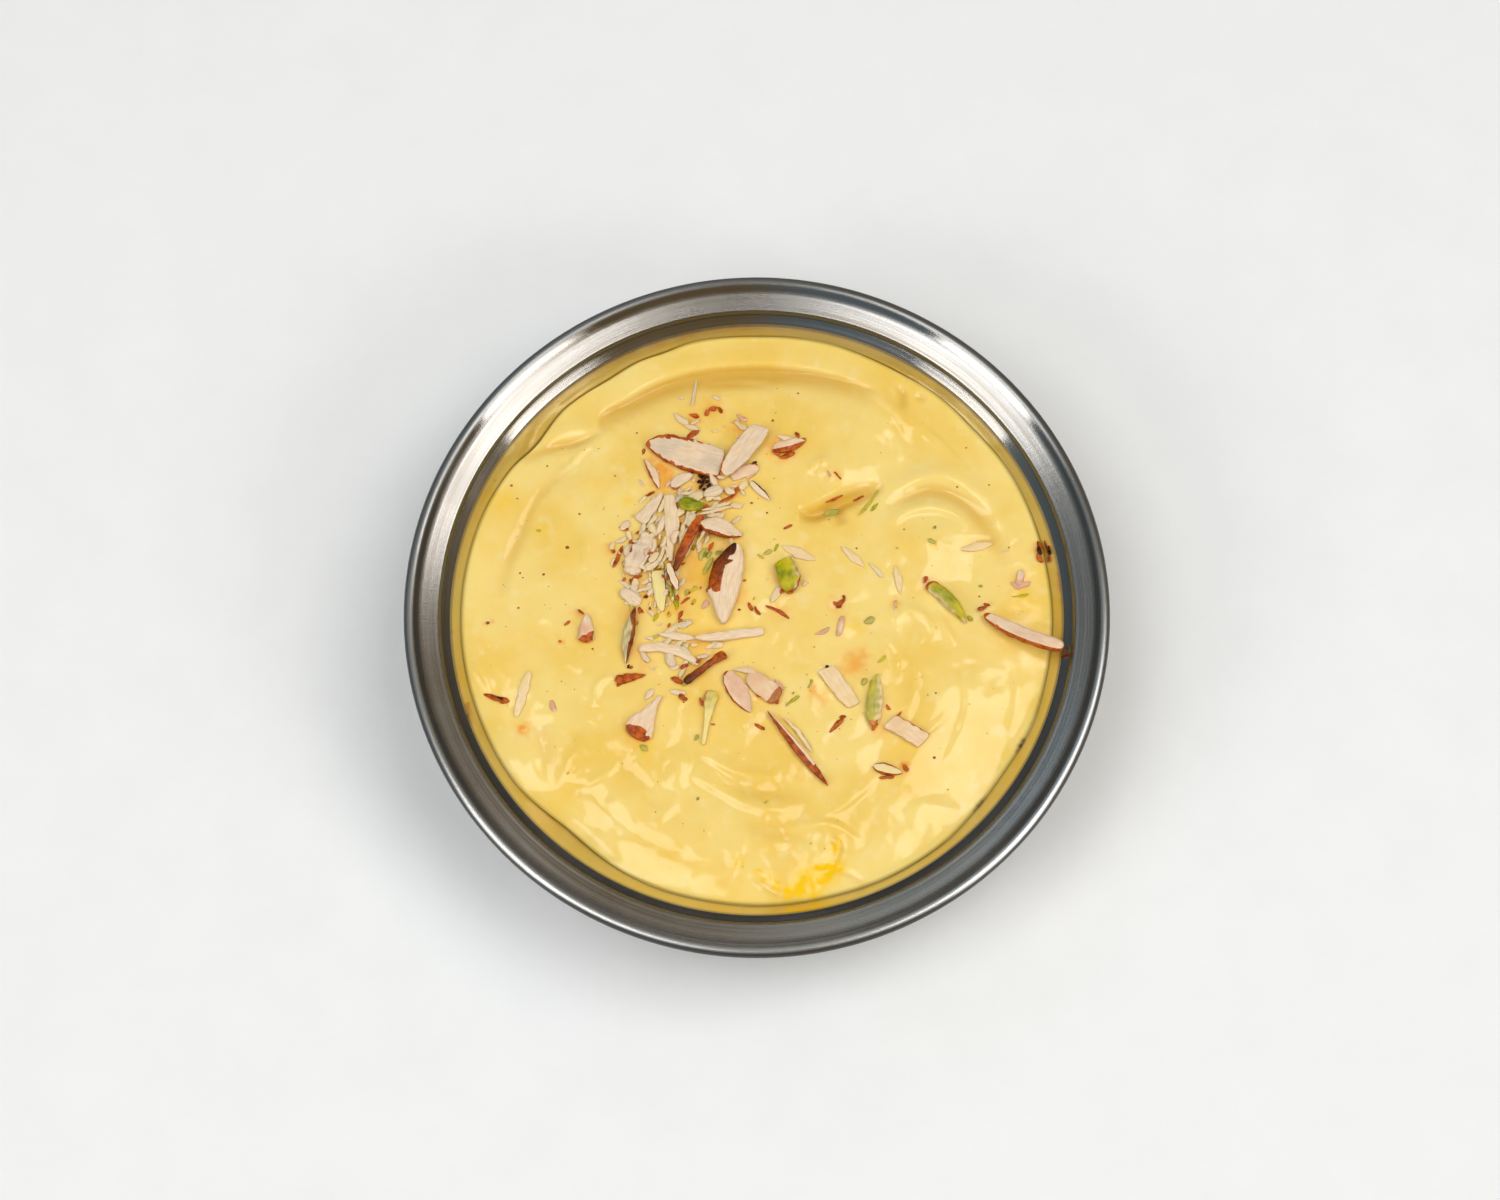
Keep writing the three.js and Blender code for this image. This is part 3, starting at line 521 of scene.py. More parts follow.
def strokeRise(stroke, x, y):
    # a bell across the line, its own width on each side, that fades out at both ends
    points, height, left, right = stroke
    signed, along = nearLine(smoothLine(points), x, y)
    width = np.where(signed > 0, left, right)
    return height * np.sin(np.pi * along) ** 0.6 * np.exp(-(signed / width) ** 2)


def waves(x, y, size, seed):
    # slow uneven swell: a sum of nine plane waves about size mm long in seeded directions
    dice = np.random.default_rng(seed)
    total = np.zeros(np.shape(x))
    for turn, phase, stretch in dice.uniform((0, 0, 0.7), (2 * np.pi, 2 * np.pi, 1.5), (9, 3)):
        total = total + np.sin((x * np.cos(turn) + y * np.sin(turn)) * 2 * np.pi * stretch / size + phase)
    return total / 4


def edgeLevel(angle):
    # the contact level round the wall: straight between the listed angles, then smoothed by a bell
    angles, levels = np.array(edgeLevels, float).T
    fine = np.arange(0, 360, 1.0)
    coarse = np.interp(fine, angles, levels, period=360)
    reach, width = creamShape["edgeBell"]
    kernel = np.exp(-(np.arange(-reach, reach + 1) / width) ** 2)
    around = np.concatenate([coarse[-reach:], coarse, coarse[:reach]])
    soft = np.convolve(around, kernel / kernel.sum(), "valid")
    return np.interp(np.degrees(angle) % 360, fine, soft, period=360)


def creamRise(x, y):
    # all the strokes together
    return sum(strokeRise(stroke, x, y) for stroke in creamStrokes) * creamShape["strokeGain"]


def creamHeight(x, y, strokes=None):
    # a dome that leans south, plus strokes, mounds and swell that die away at the wall; near it the surface
    # follows part of every dip of the edge, and rounds down to the edge's own level
    s = creamShape
    r = np.hypot(x, y)
    edge = edgeLevel(np.arctan2(y, x))
    reach = wallRadius(edge)
    share = np.clip(r / reach, 0, 1)
    rise = creamRise(x, y) if strokes is None else strokes
    rise = rise + sum(h * np.exp(-((x - mx) ** 2 + (y - my) ** 2) / w ** 2) for mx, my, h, w in creamMounds)
    swell = sum(waves(x, y, size, seed) * height for size, seed, height in s["swells"])
    dome = s["level"] + s["northRise"] * y / s["northReach"] + s["crown"] * (1 - share ** 2)
    inside = np.clip((reach - r) / s["fallWidth"], 0, 1)
    rounded = 1 - np.sqrt(np.clip(1 - (1 - inside) ** 2, 0, 1))
    lean = np.clip(1 - (reach - r) / s["lowWidth"], 0, 1) ** 1.8
    low = np.minimum(edge - s["level"], 0) * s["lowShare"] * lean
    surface = dome + (rise + swell) * (1 - share ** 16) + low
    return surface - (surface - edge) * rounded


def discGrid(cells):
    # a square grid bent onto a disc, rings of squares becoming rings of circles
    u = np.linspace(-1, 1, cells + 1)
    a, b = np.meshgrid(u, u, indexing="xy")
    big = np.abs(a) > np.abs(b)
    radius = np.where(big, a, b)
    safe = np.where(radius == 0, 1, radius)
    angle = np.where(big, np.pi / 4 * b / safe, np.pi / 2 - np.pi / 4 * a / safe)
    return radius * np.cos(angle), radius * np.sin(angle)


# the furrow colour and the two browns at the end are painted shade, in the furrows, along the wall and in
# the gaps; the others are the cream's own colours and its saffron
creamColours = {"plain": "f9db84", "deep": "f3cd64", "pale": "fbe4a8", "furrow": "d9a638", "rusty": "f0a030",
                "stain": "fcc806", "creviceShade": "8a6a1c", "gap": "3a2206"}


def creamMaterial():
    make = Maker("saffronCream")
    where = make.place()
    cloud = make.noise(where, 55.0, 3.0, 0.55)
    mottle = make.noise(where, 260.0, 2.0, 0.5)
    colour = linear(creamColours)
    tint = make.mix(cloud.ramp(0.35, 0.68), colour["plain"], colour["deep"])
    tint = make.mix(mottle.ramp(0.55, 0.75) * 0.35, tint, colour["pale"])
    # painted shade in the furrows, deepest where the strokes dip
    tint = make.mix(make.layer("furrowShade") * 0.75, tint, colour["furrow"])
    tint = make.mix(make.layer("rust") * (0.4 + mottle * 1.2), tint, colour["rusty"])
    # saffron stains, then painted shade where the cream meets the wall and painted shadow in its gaps from
    # the wall
    for layer in ("stain", "creviceShade", "gap"):
        tint = make.mix(make.layer(layer), tint, colour[layer])
    soft = make.bump(make.noise(where, 240.0, 2.0, 0.5), 0.00012, 0.6)
    bumps = make.bump(make.noise(where, 900.0, 3.0, 0.6), 0.00003, 0.5, soft)
    make.set(Base_Color=tint, Roughness=0.05 + cloud * 0.08, Subsurface_Weight=0.35,
             Subsurface_Radius=(1.0, 0.62, 0.2), Subsurface_Scale=0.0022, Specular_IOR_Level=0.29,
             Normal=bumps)
    return make.material


# saffron in the cream, as bright yellow pools and as rusty stains round the nuts: x, y, radius, strength
saffronPools = [(10.6, -57.2, 2.3, 1.8), (12.8, -56.3, 2.5, 1.8), (15.2, -55.2, 2.1, 1.6),
                (17.2, -54.2, 1.2, 1.4), (9, -59, 1.7, 1.6), (6.6, -59.6, 1.2, 1.4), (4.2, -58.4, 0.9, 1.2),
                (2.2, -57, 0.9, 1.1), (0.2, -55.6, 0.8, 0.9), (16.6, -50.6, 0.8, 1.2), (16.9, -49, 0.7, 1),
                (16.4, -52, 0.7, 1.1), (-4, -53.8, 1.2, 0.5), (12, -60.2, 1.6, 1), (-55, 26, 2.4, 0.5),
                (-46, 19.2, 1.4, 0.4), (-28, 25.5, 1.2, 0.5), (-23.8, -29.2, 1.3, 0.6),
                (21.6, -2.6, 1.8, 0.5), (38, 16, 1.2, 0.6), (-20, 2, 2.4, 0.4), (-11, 9, 2.6, 0.4),
                (57, 4.4, 1.8, 0.5)]
rustyStains = [(-20.4, 32.2, 2.4, 0.9), (-22.4, 35, 1.4, 0.6), (-11.4, 30, 3.4, 0.6), (-4, 28, 2.2, 0.35),
               (-14.5, 19, 4, 0.55), (-21, 13, 5, 0.5), (-23, 6, 3.2, 0.5), (-15, 6, 3, 0.4),
               (-27, 0, 2.4, 0.5), (-26, -8, 2.2, 0.4), (-9.6, 46.2, 2.2, 0.6), (-14, 44, 2.4, 0.5),
               (5, 37, 2.6, 0.7), (-4, 42, 2, 0.5), (-13, -12, 2.4, 0.4), (20.8, -10.8, 2.6, 0.8),
               (22.4, -9, 1.6, 0.6), (2.4, -17, 2.4, 0.4), (29.6, 2.2, 1.2, 0.6), (31, -32.8, 1.3, 0.8),
               (-49.7, -24.6, 1.3, 0.9), (-26, -26, 2.6, 0.4), (17, 2, 2, 0.5), (13.6, -18.6, 1.8, 0.4),
               (17, 31, 1.2, 0.5), (-42, -5.7, 0.8, 0.6), (-31.6, 15, 1.4, 0.6), (56.6, 7.6, 1.8, 0.5),
               (37, 7, 1.6, 0.5), (5, 0.6, 2.2, 0.4), (-38.4, 0.4, 1.4, 0.4), (11.9, -16.6, 1, 0.7),
               (61.6, 14.6, 1.6, 0.6), (26, -25, 1.6, 0.4), (-57.5, -1.5, 0.7, 0.8), (-12.5, 8, 3.6, 0.55),
               (-14, 12, 3, 0.6), (-6, 14, 2.6, 0.4), (-20, 30, 2.6, 0.8), (-17, 1.6, 2.4, 0.5),
               (-24, -11, 2.4, 0.35), (-12, -6.5, 2.4, 0.4), (5, 9, 2.4, 0.4), (-4.4, 4, 2.4, 0.4)]

# painted shadow in the gaps where the cream has drawn away from the wall
gapShadows = [(46.3, -42.1, 0.5, 0.9), (47.1, -41.3, 0.65, 1.3), (47.9, -40.4, 0.65, 1.3),
            (48.7, -39.5, 0.5, 0.9), (55.5, -29.3, 0.5, 0.9), (56.1, -28.3, 0.65, 1.3),
            (56.6, -27.2, 0.55, 1)]


def spots(points, places):
    # how strongly each point is inside any of the round soft spots
    total = np.zeros(len(points))
    for x, y, size, strength in places:
        away = ((points[:, 0] - x) ** 2 + (points[:, 1] - y) ** 2) / size ** 2
        total = np.maximum(total, strength * np.exp(-away))
    return total


def makeCream():
    # the disc grid at the height of the surface, with sides down the wall to a level bottom
    s = creamShape
    cells = s["cells"]
    a, b = discGrid(cells)
    angle = np.arctan2(b, a)
    r = np.hypot(a, b) * wallRadius(edgeLevel(angle))
    x, y = r * np.cos(angle), r * np.sin(angle)
    strokes = creamRise(x, y)
    top = np.stack([x * s["overlap"], y * s["overlap"], creamHeight(x, y, strokes)], -1).reshape(-1, 3)
    index = np.arange((cells + 1) ** 2).reshape(cells + 1, cells + 1)
    border = np.concatenate([index[0, :-1], index[:-1, -1], index[-1, :0:-1], index[:0:-1, 0]])
    edge = top[border]
    inner = steelFace(-s["sideGap"])
    inner = inner[inner[:, 1] < s["sideTop"]][::-3]
    around = edge[:, :2] / np.linalg.norm(edge[:, :2], axis=1, keepdims=True)
    flat = np.ones((len(border), 1))
    sides = [np.concatenate([around * radius, flat * height], 1) for radius, height in inner]
    points = np.concatenate([top, *sides, [[0, 0, inner[-1][1]]]])
    rings = np.concatenate([border, len(top) + np.arange(len(border) * len(sides))]).reshape(-1, len(border))
    after = np.roll(rings, -1, axis=1)
    walls = np.stack([rings[:-1], rings[1:], after[1:], after[:-1]], -1).reshape(-1, 4)
    bottom = np.stack([rings[-1], np.full(len(border), len(points) - 1), after[-1]], -1)
    size, most = s["wander"]
    wander = np.stack([waves(points[:, 0], points[:, 1], size, seed) for seed in (21, 22)], -1) * most
    bent = points[:, :2] + wander
    gap = wallRadius(points[:, 2]) - np.hypot(points[:, 0], points[:, 1])
    # painted shade in the furrows, from how deep the strokes dip
    furrowShade = np.clip(-strokes.ravel() / s["hollowDepth"], 0, 1)
    layers = {"stain": spots(bent, saffronPools), "rust": spots(bent, rustyStains),
              # painted shade along the wall
              "creviceShade": np.clip(1 - gap / s["creviceReach"], 0, 1) ** 1.2,
              "furrowShade": np.append(furrowShade, np.zeros(len(points) - len(furrowShade))),
              # painted shadow in the gaps from the wall
              "gap": spots(points, gapShadows)}
    quads = gridQuads(cells + 1, cells + 1, False)
    return meshFrom("creamFilling", points, [quads, walls, bottom], creamMaterial(), layers)


cream = makeCream()
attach(cream, "root")
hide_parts("shrikhand")
print("cream stroked")


# looks of each sliver, from the end nearer the back left to the other end. Its outline is either "edges",
# corners as (along, right, left) between -1 and 1 with straight sides, or "ends", the kinds of its two ends,
# and "widest", where it is widest. Then how far its ends slant, how many mm its middle bows to the left, how
# square its section is, how hollow its top is (cup), how rough, and how many mm it sinks. Then how green,
# yellow (pale), grey, rosy, creamed over (veil) or brown-black (dark) it is: sideGreen gathers the green on
# the left, darkAlong the dark at the far end. skins are patches of brown skin, patchy makes their outline
# uneven: each patch is a list of limits that all have to hold, (least, along, left, up, left squared), where
# the sum of the weighted directions is over the least and weights left out are 0
nutLooks = {
    "almond_large": dict(edges=[(-1, -0.05, 0.2), (-0.75, -0.4, 0.75), (-0.4, -0.75, 0.98), (0, -0.98, 1),
        (0.6, -1, 0.95), (0.93, -1, 0.85), (1, -0.95, 0.7)], square=5, cup=0.4, grey=0.7,
        skins=[[(0.86, 0, -1)], [(0.9, -1)], [(0.92, -0.25, 1, 0.1)]], patchy=0.05),
    "almond_tall": dict(edges=[(-1, -0.75, 0.8), (-0.6, -0.95, 1), (0.2, -1, 0.9), (0.8, -0.8, 0.5),
        (1, -0.5, 0.2)], slant=(-0.3, 0.1), square=6, cup=0.3, grey=0.35, skins=[[(1.2, 0.5, -1)]]),
    "almond_tail": dict(edges=[(-1, -0.8, 0.8), (0.5, -1, 1), (1, -0.5, 0.5)], grey=0.4, rosy=0.5,
        skins=[[(1.25, 1, 1)]]),
    "almond_leaf_west": dict(bow=0.4, rosy=0.2, skins=[[(0.66, 0, -1)]]),
    "almond_dark_edge": dict(ends=("blunt", "point"), dark=1, skins=[[(0.6, 0, 1)]]),
    "almond_chip_mid": dict(edges=[(-1, -0.9, 0.2), (-0.6, -1.1, 1), (-0.1, -0.8, 1.3), (0.6, -0.3, 1),
        (1, 0.2, 0.6)], grey=0.35, skins=[[(1.1, -0.6, -1)]]),
    "almond_leaf_upper": dict(edges=[(-1, -0.1, 0.3), (-0.3, -0.6, 0.9), (0.5, -0.95, 1), (0.9, -1, 1),
        (1, -0.8, 0.8)], square=5, grey=0.3),
    "almond_strip": dict(edges=[(-1, -0.9, 0.3), (-0.9, -0.95, 0.6), (-0.3, -0.98, 1.15), (0, -0.98, 1.1),
        (0.25, -0.9, 0.5), (0.7, -0.8, 0.1), (1, -0.6, -0.1)], square=6, grey=0.2, veil=0.1),
    "pistachio_top": dict(edges=[(-1, -0.3, 0.3), (-0.75, -0.8, 0.8), (-0.3, -1, 1), (0.2, -0.95, 0.7),
        (0.6, -0.5, 0.5), (1, -0.1, 0.2)], square=3, green=0.95, skins=[[(0.7, 1, -0.2)], [(0.92, -1)]]),
    "almond_skin_strip": dict(edges=[(-1, -0.5, 0.6), (-0.6, -0.9, 1), (0, -1, 1), (0.6, -0.95, 0.7),
        (1, -0.6, 0.3)], bow=-0.5, square=4, rough=0.7, dark=0.2, darkAlong=0.35, skins=[[(-1,)]]),
    "almond_wedge": dict(edges=[(-1, 0, 0.15), (-0.8, -0.6, 0.5), (-0.5, -0.85, 0.85), (-0.1, -0.98, 1),
        (0.4, -1, 0.6), (1, -0.65, -0.4)], square=5, grey=0.25, dark=0.3, skins=[[(0.72, 0, -1)]]),
    "almond_half": dict(edges=[(-1, 0, 0.35), (-0.84, -0.4, 0.7), (-0.45, -1.12, 0.93), (-0.1, -1.22, 0.95),
        (0.28, -1.18, 0.82), (0.36, -1.1, 0.8), (0.44, -0.85, 0.75), (0.84, -0.3, 0.5), (1, 0.1, 0.3)],
        square=3.2, rough=0.6, sink=0.5, grey=0.1, dark=0.35, darkAlong=-0.55, skins=[[(0.2, -0.35, -1),
        (-0.36, -1, 0.15)]]),
    "almond_crumbly": dict(edges=[(-1, -0.6, 0.3), (-0.8, -0.85, 0.7), (-0.5, -0.7, 1), (-0.2, -1.05, 0.8),
        (0.1, -0.85, 1.1), (0.5, -1.1, 0.9), (0.8, -0.85, 1), (1, -0.6, 0.6)], square=3, rough=3.2,
        grey=0.55, skins=[[(1.05, 0, -1, -0.5)], [(1.35, 1, 0.6, -0.5)]], patchy=1),
    "almond_pale_strip": dict(edges=[(-1, -0.9, 0.9), (-0.5, -1.1, 1.1), (0.3, -0.9, 0.9), (1, -0.3, 0.4)],
        square=5, pale=0.8, dark=0.9, skins=[[(0.9, 0, 1)]]),
    "almond_rimmed": dict(edges=[(-1, -0.6, 0.3), (-0.4, -1, 0.8), (0.4, -0.9, 1), (1, -0.2, 0.5)],
        dark=0.8, skins=[[(0.82, 0, 1)], [(0.82, 0, -1)]]),
    "almond_chip_west": dict(ends=("round", "blunt"), rough=1.5, grey=0.4),
    "pistachio_west": dict(bow=-0.5, square=3, green=0.45, dark=0.5, skins=[[(0.45, -1, 0.3)],
        [(0.42, 0.2, 1)]]),
    "almond_cross_west": dict(),
    "almond_cross": dict(edges=[(-1, -0.2, 0.3), (-0.7, -0.9, 0.7), (-0.2, -1.15, 0.8), (0.2, -1, 1.05),
        (0.9, -0.8, 1), (1, -0.5, 0.8)], square=5),
    "almond_bent": dict(ends=("blunt", "round"), bow=1.8),
    "almond_skin_east": dict(edges=[(-1, -0.5, 1.3), (-0.85, -0.9, 1.2), (-0.4, -0.8, 0.6),
        (0.3, -0.8, 0.7), (0.85, -0.8, 0.9), (1, -0.6, 0.8)], square=3, dark=0.45, darkAlong=0.3,
        skins=[[(-1,)]]),
    "almond_skin_hook": dict(ends=("round", "point"), widest=-0.6, skins=[[(-1,)]]),
    "almond_crescent": dict(edges=[(-1, -0.02, 0.15), (-0.5, -0.3, 0.25), (-0.1, -0.5, 0.45),
        (0.35, -0.95, 0.8), (0.7, -1, 0.95), (0.9, -0.7, 0.75), (1, -0.35, 0.45)], square=4, cup=0.4,
        rosy=0.15, skins=[[(0.5, 1, 0, 0, -0.3)]]),
    "pistachio_pale": dict(edges=[(-1, -0.8, 0.8), (-0.75, -1, 1.1), (-0.4, -0.7, 0.8), (0.1, -0.4, 0.5),
        (0.6, -0.3, 0.4), (1, -0.2, 0.3)], green=0.5, pale=0.9, veil=0.25, skins=[[(1.25, -0.7, -1)]]),
    "almond_oval_east": dict(ends=("round", "blunt"), rosy=0.8, veil=0.15, dark=0.3, skins=[[(0.62, 1)]]),
    "almond_oval": dict(ends=("round", "point"), rosy=0.7, skins=[[(0.85, 0, -1)], [(0.9, -1)]]),
    "almond_long_skin": dict(widest=0.2, square=3, dark=0.25, skins=[[(-0.2, 0, -1)], [(0.45, 1)]]),
    "almond_block": dict(edges=[(-1, -1, 0.75), (0.5, -0.8, 0.8), (1, -0.45, 0.6)], slant=(0.2, 0.15),
        square=6, sink=0.5, rosy=0.25, veil=0.35),
    "pistachio_crescent": dict(edges=[(-1, -0.1, 0.1), (-0.6, -0.8, 0.6), (0, -1, 1), (0.6, -0.9, 0.95),
        (1, -0.2, 0.3)], square=3, green=0.8, sideGreen=-1, veil=0.3, skins=[[(0.82, 1)]]),
    "almond_oblong": dict(edges=[(-1, -0.75, 0.6), (-0.8, -0.8, 0.75), (0.9, -0.8, 0.75), (1, -0.75, 0.6)],
        slant=(0.25, 0.2), square=6, rosy=0.5, veil=0.25, skins=[[(0.86, 0, 1)]]),
    "almond_small_oval": dict(ends=("round", "point"), pale=0.5, dark=0.2, skins=[[(0.7, 0, 1)],
        [(0.7, 0, -1)]]),
    "pistachio_chunk": dict(edges=[(-1, -0.95, 0.85), (-0.2, -1, 1.1), (0.3, -1, 1.15), (0.7, -0.85, 0.7),
        (1, -0.5, -0.1)], slant=(-0.25, 0), square=5, green=0.85, sideGreen=-0.6, skins=[[(0.86, 1)],
        [(0.92, 0.15, 1)], [(1.1, 0.4, -1, -0.4)]]),
    "almond_sunk_a": dict(sink=0.75, rosy=0.4, veil=0.4),
    "almond_sunk_b": dict(sink=0.8, rosy=0.4, veil=0.5),
    "almond_upright": dict(sink=0.75, rosy=0.3, veil=0.45),
    "almond_pale_east": dict(sink=0.8, rosy=0.4, veil=0.45),
    "pistachio_east": dict(ends=("blunt", "point"), bow=0.8, square=3, green=0.95, sideGreen=0.7, veil=0.1,
        skins=[[(0.85, -1)], [(1.1, -0.5, 1)]]),
    "almond_long": dict(ends=("round", "blunt"), bow=-0.7, square=4, grey=0.2, rosy=0.3,
        skins=[[(0.72, 0, -1)], [(0.88, -1)]]),
    "almond_pink": dict(ends=("point", "blunt"), widest=0.4, rosy=1, skins=[[(0.5, 1, 0.3)]]),
    "almond_pale_west": dict(ends=("round", "round"), sink=0.7, rosy=0.2, veil=0.5),
    "almond_skin_curl": dict(ends=("round", "point"), rosy=0.5, skins=[[(0.1, 0, -1)]]),
}
toneNames = ("dark", "veil", "rosy", "grey", "pale")
# the kinds of ends: share of the width that is left there, and how bluntly the outline falls to it
endKinds = {"point": (0.1, 1.7), "round": (0.36, 2.8), "blunt": (0.78, 3.4)}

# the same for every nut, in mm
nutShape = {
    "wave": (2.6, 0.12),          # length and height of the slow unevenness
    "fine": (0.9, 0.03),          # and of the fine one
    "patch": (2.2, 0.06, 0.12),   # unevenness of the skin's outline: length, share, and more where patchy
    "taper": 0.25,                # how much thinner its ends are than its middle
    "closing": (0.4, 0.9),        # how soon an end closes: outlines with corners, the other ones
    "skinFade": 0.07,
    "sink": 0.35,                 # how deep it lies under its CAD solid
    "seeds": (11, 7),             # the first one's seed, and the step to the next
    "grid": (44, 28),
}


def outlineShare(u, ends, widest):
    # share of the full width at u, from -1 to 1: full at widest, falling by a power towards each end
    (firstShare, firstPower), (lastShare, lastPower) = (endKinds[end] for end in ends)
    before = u < widest
    away = np.where(before, (widest - u) / (widest + 1), (u - widest) / (1 - widest))
    least = np.where(before, firstShare, lastShare)
    return 1 - (1 - least) * away ** np.where(before, firstPower, lastPower)


def outlineEdges(u, look):
    # right and left edge at u as shares of half the width: straight between the listed corners, or the
    # same rounded share on both sides
    if "edges" in look:
        at, right, left = np.array(look["edges"], float).T
        return np.interp(u, at, right), np.interp(u, at, left)
    share = outlineShare(u, look.get("ends", ("point", "point")), look.get("widest", 0.0))
    return -share, share


def nutSurface(look, size, seed, grid):
    # x = length * u / 2, sheared where the ends slant; y and z follow a superellipse, |y|^n + |z|^n = 1,
    # between the outline's edges at u, closing at both ends. Then the middle is bowed, the top cupped, and
    # waves make it uneven. Returns points and the layers of skin, green, grain and tones
    s = nutShape
    length, width, thick = size
    u = -np.cos(np.linspace(0, np.pi, grid[0]))[:, None]
    v = np.linspace(0, 2 * np.pi, grid[1], endpoint=False)[None]
    power = 2 / look.get("square", 4)
    across = np.sign(np.cos(v)) * np.abs(np.cos(v)) ** power + 0 * u
    up = np.sign(np.sin(v)) * np.abs(np.sin(v)) ** power + 0 * u
    right, left = outlineEdges(u, look)
    share = (left - right) / 2
    over = s["closing"][0 if "edges" in look else 1]
    closing = np.sqrt(1 - (1 - np.clip((1 - np.abs(u)) * length / 2 / over, 0, 1)) ** 2) * 0.97 + 0.03
    rough = look.get("rough", 1.0)
    (waveSize, waveRise), (fineSize, fineRise) = s["wave"], s["fine"]
    wave = waves(u * length / 2 + seed, across * width + up, waveSize, seed) * waveRise * rough
    fine = waves(u * length / 2 - seed, across * width - up, fineSize, seed + 1) * fineRise * rough
    reach = (width / 2 + wave + fine) * share * closing
    y = look.get("bow", 0.0) * (1 - u ** 2) + across * reach + (left + right) / 2 * width / 2 * closing
    first, last = look.get("slant", (0, 0))
    x = u * length / 2 + across * reach * (first * (1 - u) + last * (1 + u)) / 2
    cup = look.get("cup", 0.0) * (across ** 2 - 0.5) * 0.5
    z = (up * thick / 2 * (1 - s["taper"] * u ** 2) * (1 + wave) + cup * share + fine) * closing
    patchSize, patchShare, patchMore = s["patch"]
    patchShare = patchShare + patchMore * look.get("patchy", 0.0)
    patch = waves(x + seed, y * 1.4, patchSize, seed + 2) * patchShare
    skin = np.zeros(x.shape)
    for limits in look.get("skins", []):
        inside = []
        for limit in limits:
            least, a, b, c, d = (*limit, 0, 0, 0, 0)[:5]
            inside.append(a * u + b * across + c * up + d * across ** 2 - least + patch)
        skin = np.maximum(skin, np.clip(np.min(inside, axis=0) / s["skinFade"] + 0.5, 0, 1))
    green = 0.75 + look.get("sideGreen", 0) * 0.6 * across + patch * 3
    green = look.get("green", 0.0) * np.clip(green, 0, 1.2)
    if look.get("pale"):
        # pale ones are green at their first end only
        green = green * np.clip(0.25 - u * 1.2, 0.12, 1)
    layers = {"skin": skin, "green": green, "grainAlong": x + 3.7 * seed, "grainAcross": y + up * 0.4}
    for tone in toneNames:
        layers[tone] = look.get(tone, 0.0) + look.get(tone + "Along", 0.0) * u + 0 * x
    return np.stack([x, y, z], -1).reshape(-1, 3), {name: values.ravel() for name, values in layers.items()}


def nutFrame(node):
    # middle, directions along, left and up, and size of a CAD sliver, from its own points
    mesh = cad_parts[node].data
    points = np.empty(len(mesh.vertices) * 3)
    mesh.vertices.foreach_get("co", points)
    points = np.unique(np.round(points.reshape(-1, 3) / mm, 3), axis=0)
    spread = points - points.mean(0)
    along = np.linalg.svd(spread, full_matrices=False)[2][0]
    along = along * np.sign(along @ [0.5, -0.86, 0.0])
    up = np.array([0, 0, 1.0]) - along[2] * along
    up = up / np.linalg.norm(up)
    left = np.cross(up, along)
    axes = np.stack([along, left, up])
    reach = spread @ axes.T
    return points.mean(0) + (reach.max(0) + reach.min(0)) / 2 @ axes, axes, np.ptp(reach, axis=0)


nutColours = {"ivory": "f3dabb", "tan": "e2bf90", "grey": "cbb9a2", "rosy": "dfaa88", "pale": "f1dd8a",
              "skin": "cc6208", "skinDeep": "8c3200", "skinDark": "341405", "green": "989600",
              "greenDeep": "587000", "greenPale": "ccb808", "film": "f9dd8e"}


def nutMaterial():
    # ivory flesh with fibres along it, brown skin, green pistachio and a film of cream, by point layers
    make = Maker("nutFlesh")
    colour = linear(nutColours)
    where = make.place()
    along, across = make.layer("grainAlong"), make.layer("grainAcross")
    fibre = make.noise(make.vector(along * 0.35, across * 2.4, 0.0), 1.0, 3.0, 0.6)
    speckle = make.noise(where, 900.0, 3.0, 0.6)
    broad = make.noise(where, 260.0, 2.0)
    flesh = make.mix(fibre.ramp(0.35, 0.7) * 0.8, colour["ivory"], colour["tan"])
    flesh = make.mix(make.layer("grey") * broad.ramp(0.2, 0.75), flesh, colour["grey"])
    flesh = make.mix(make.layer("rosy") * broad.ramp(0.25, 0.7), flesh, colour["rosy"])
    flesh = make.mix(make.layer("pale"), flesh, colour["pale"])
    green = make.mix(fibre.ramp(0.4, 0.65), colour["green"], colour["greenDeep"])
    green = make.mix(broad.ramp(0.3, 0.65), colour["greenPale"], green)
    flesh = make.mix((make.layer("green") * 1.5).ramp(0.1, 0.9), flesh, green)
    brown = make.mix(speckle.ramp(0.35, 0.7), colour["skin"], colour["skinDeep"])
    brown = make.mix((make.layer("dark") + fibre * 0.4 - 0.2).ramp(0.0, 1.0), brown, colour["skinDark"])
    onSkin = (make.layer("skin") + speckle * 0.3 - 0.15).ramp(0.35, 0.6)
    veil = make.layer("veil")
    tint = make.mix(veil * broad.ramp(0.2, 0.6), make.mix(onSkin, flesh, brown), colour["film"])
    make.set(Base_Color=tint, Roughness=0.42 - veil * 0.2 - onSkin * 0.06, Subsurface_Weight=0.25,
             Subsurface_Radius=(1.0, 0.62, 0.32), Subsurface_Scale=0.0009, Specular_IOR_Level=0.22,
             Normal=make.bump(fibre * 0.7 + speckle * 0.5, 0.00012, 0.6))
    return make.material


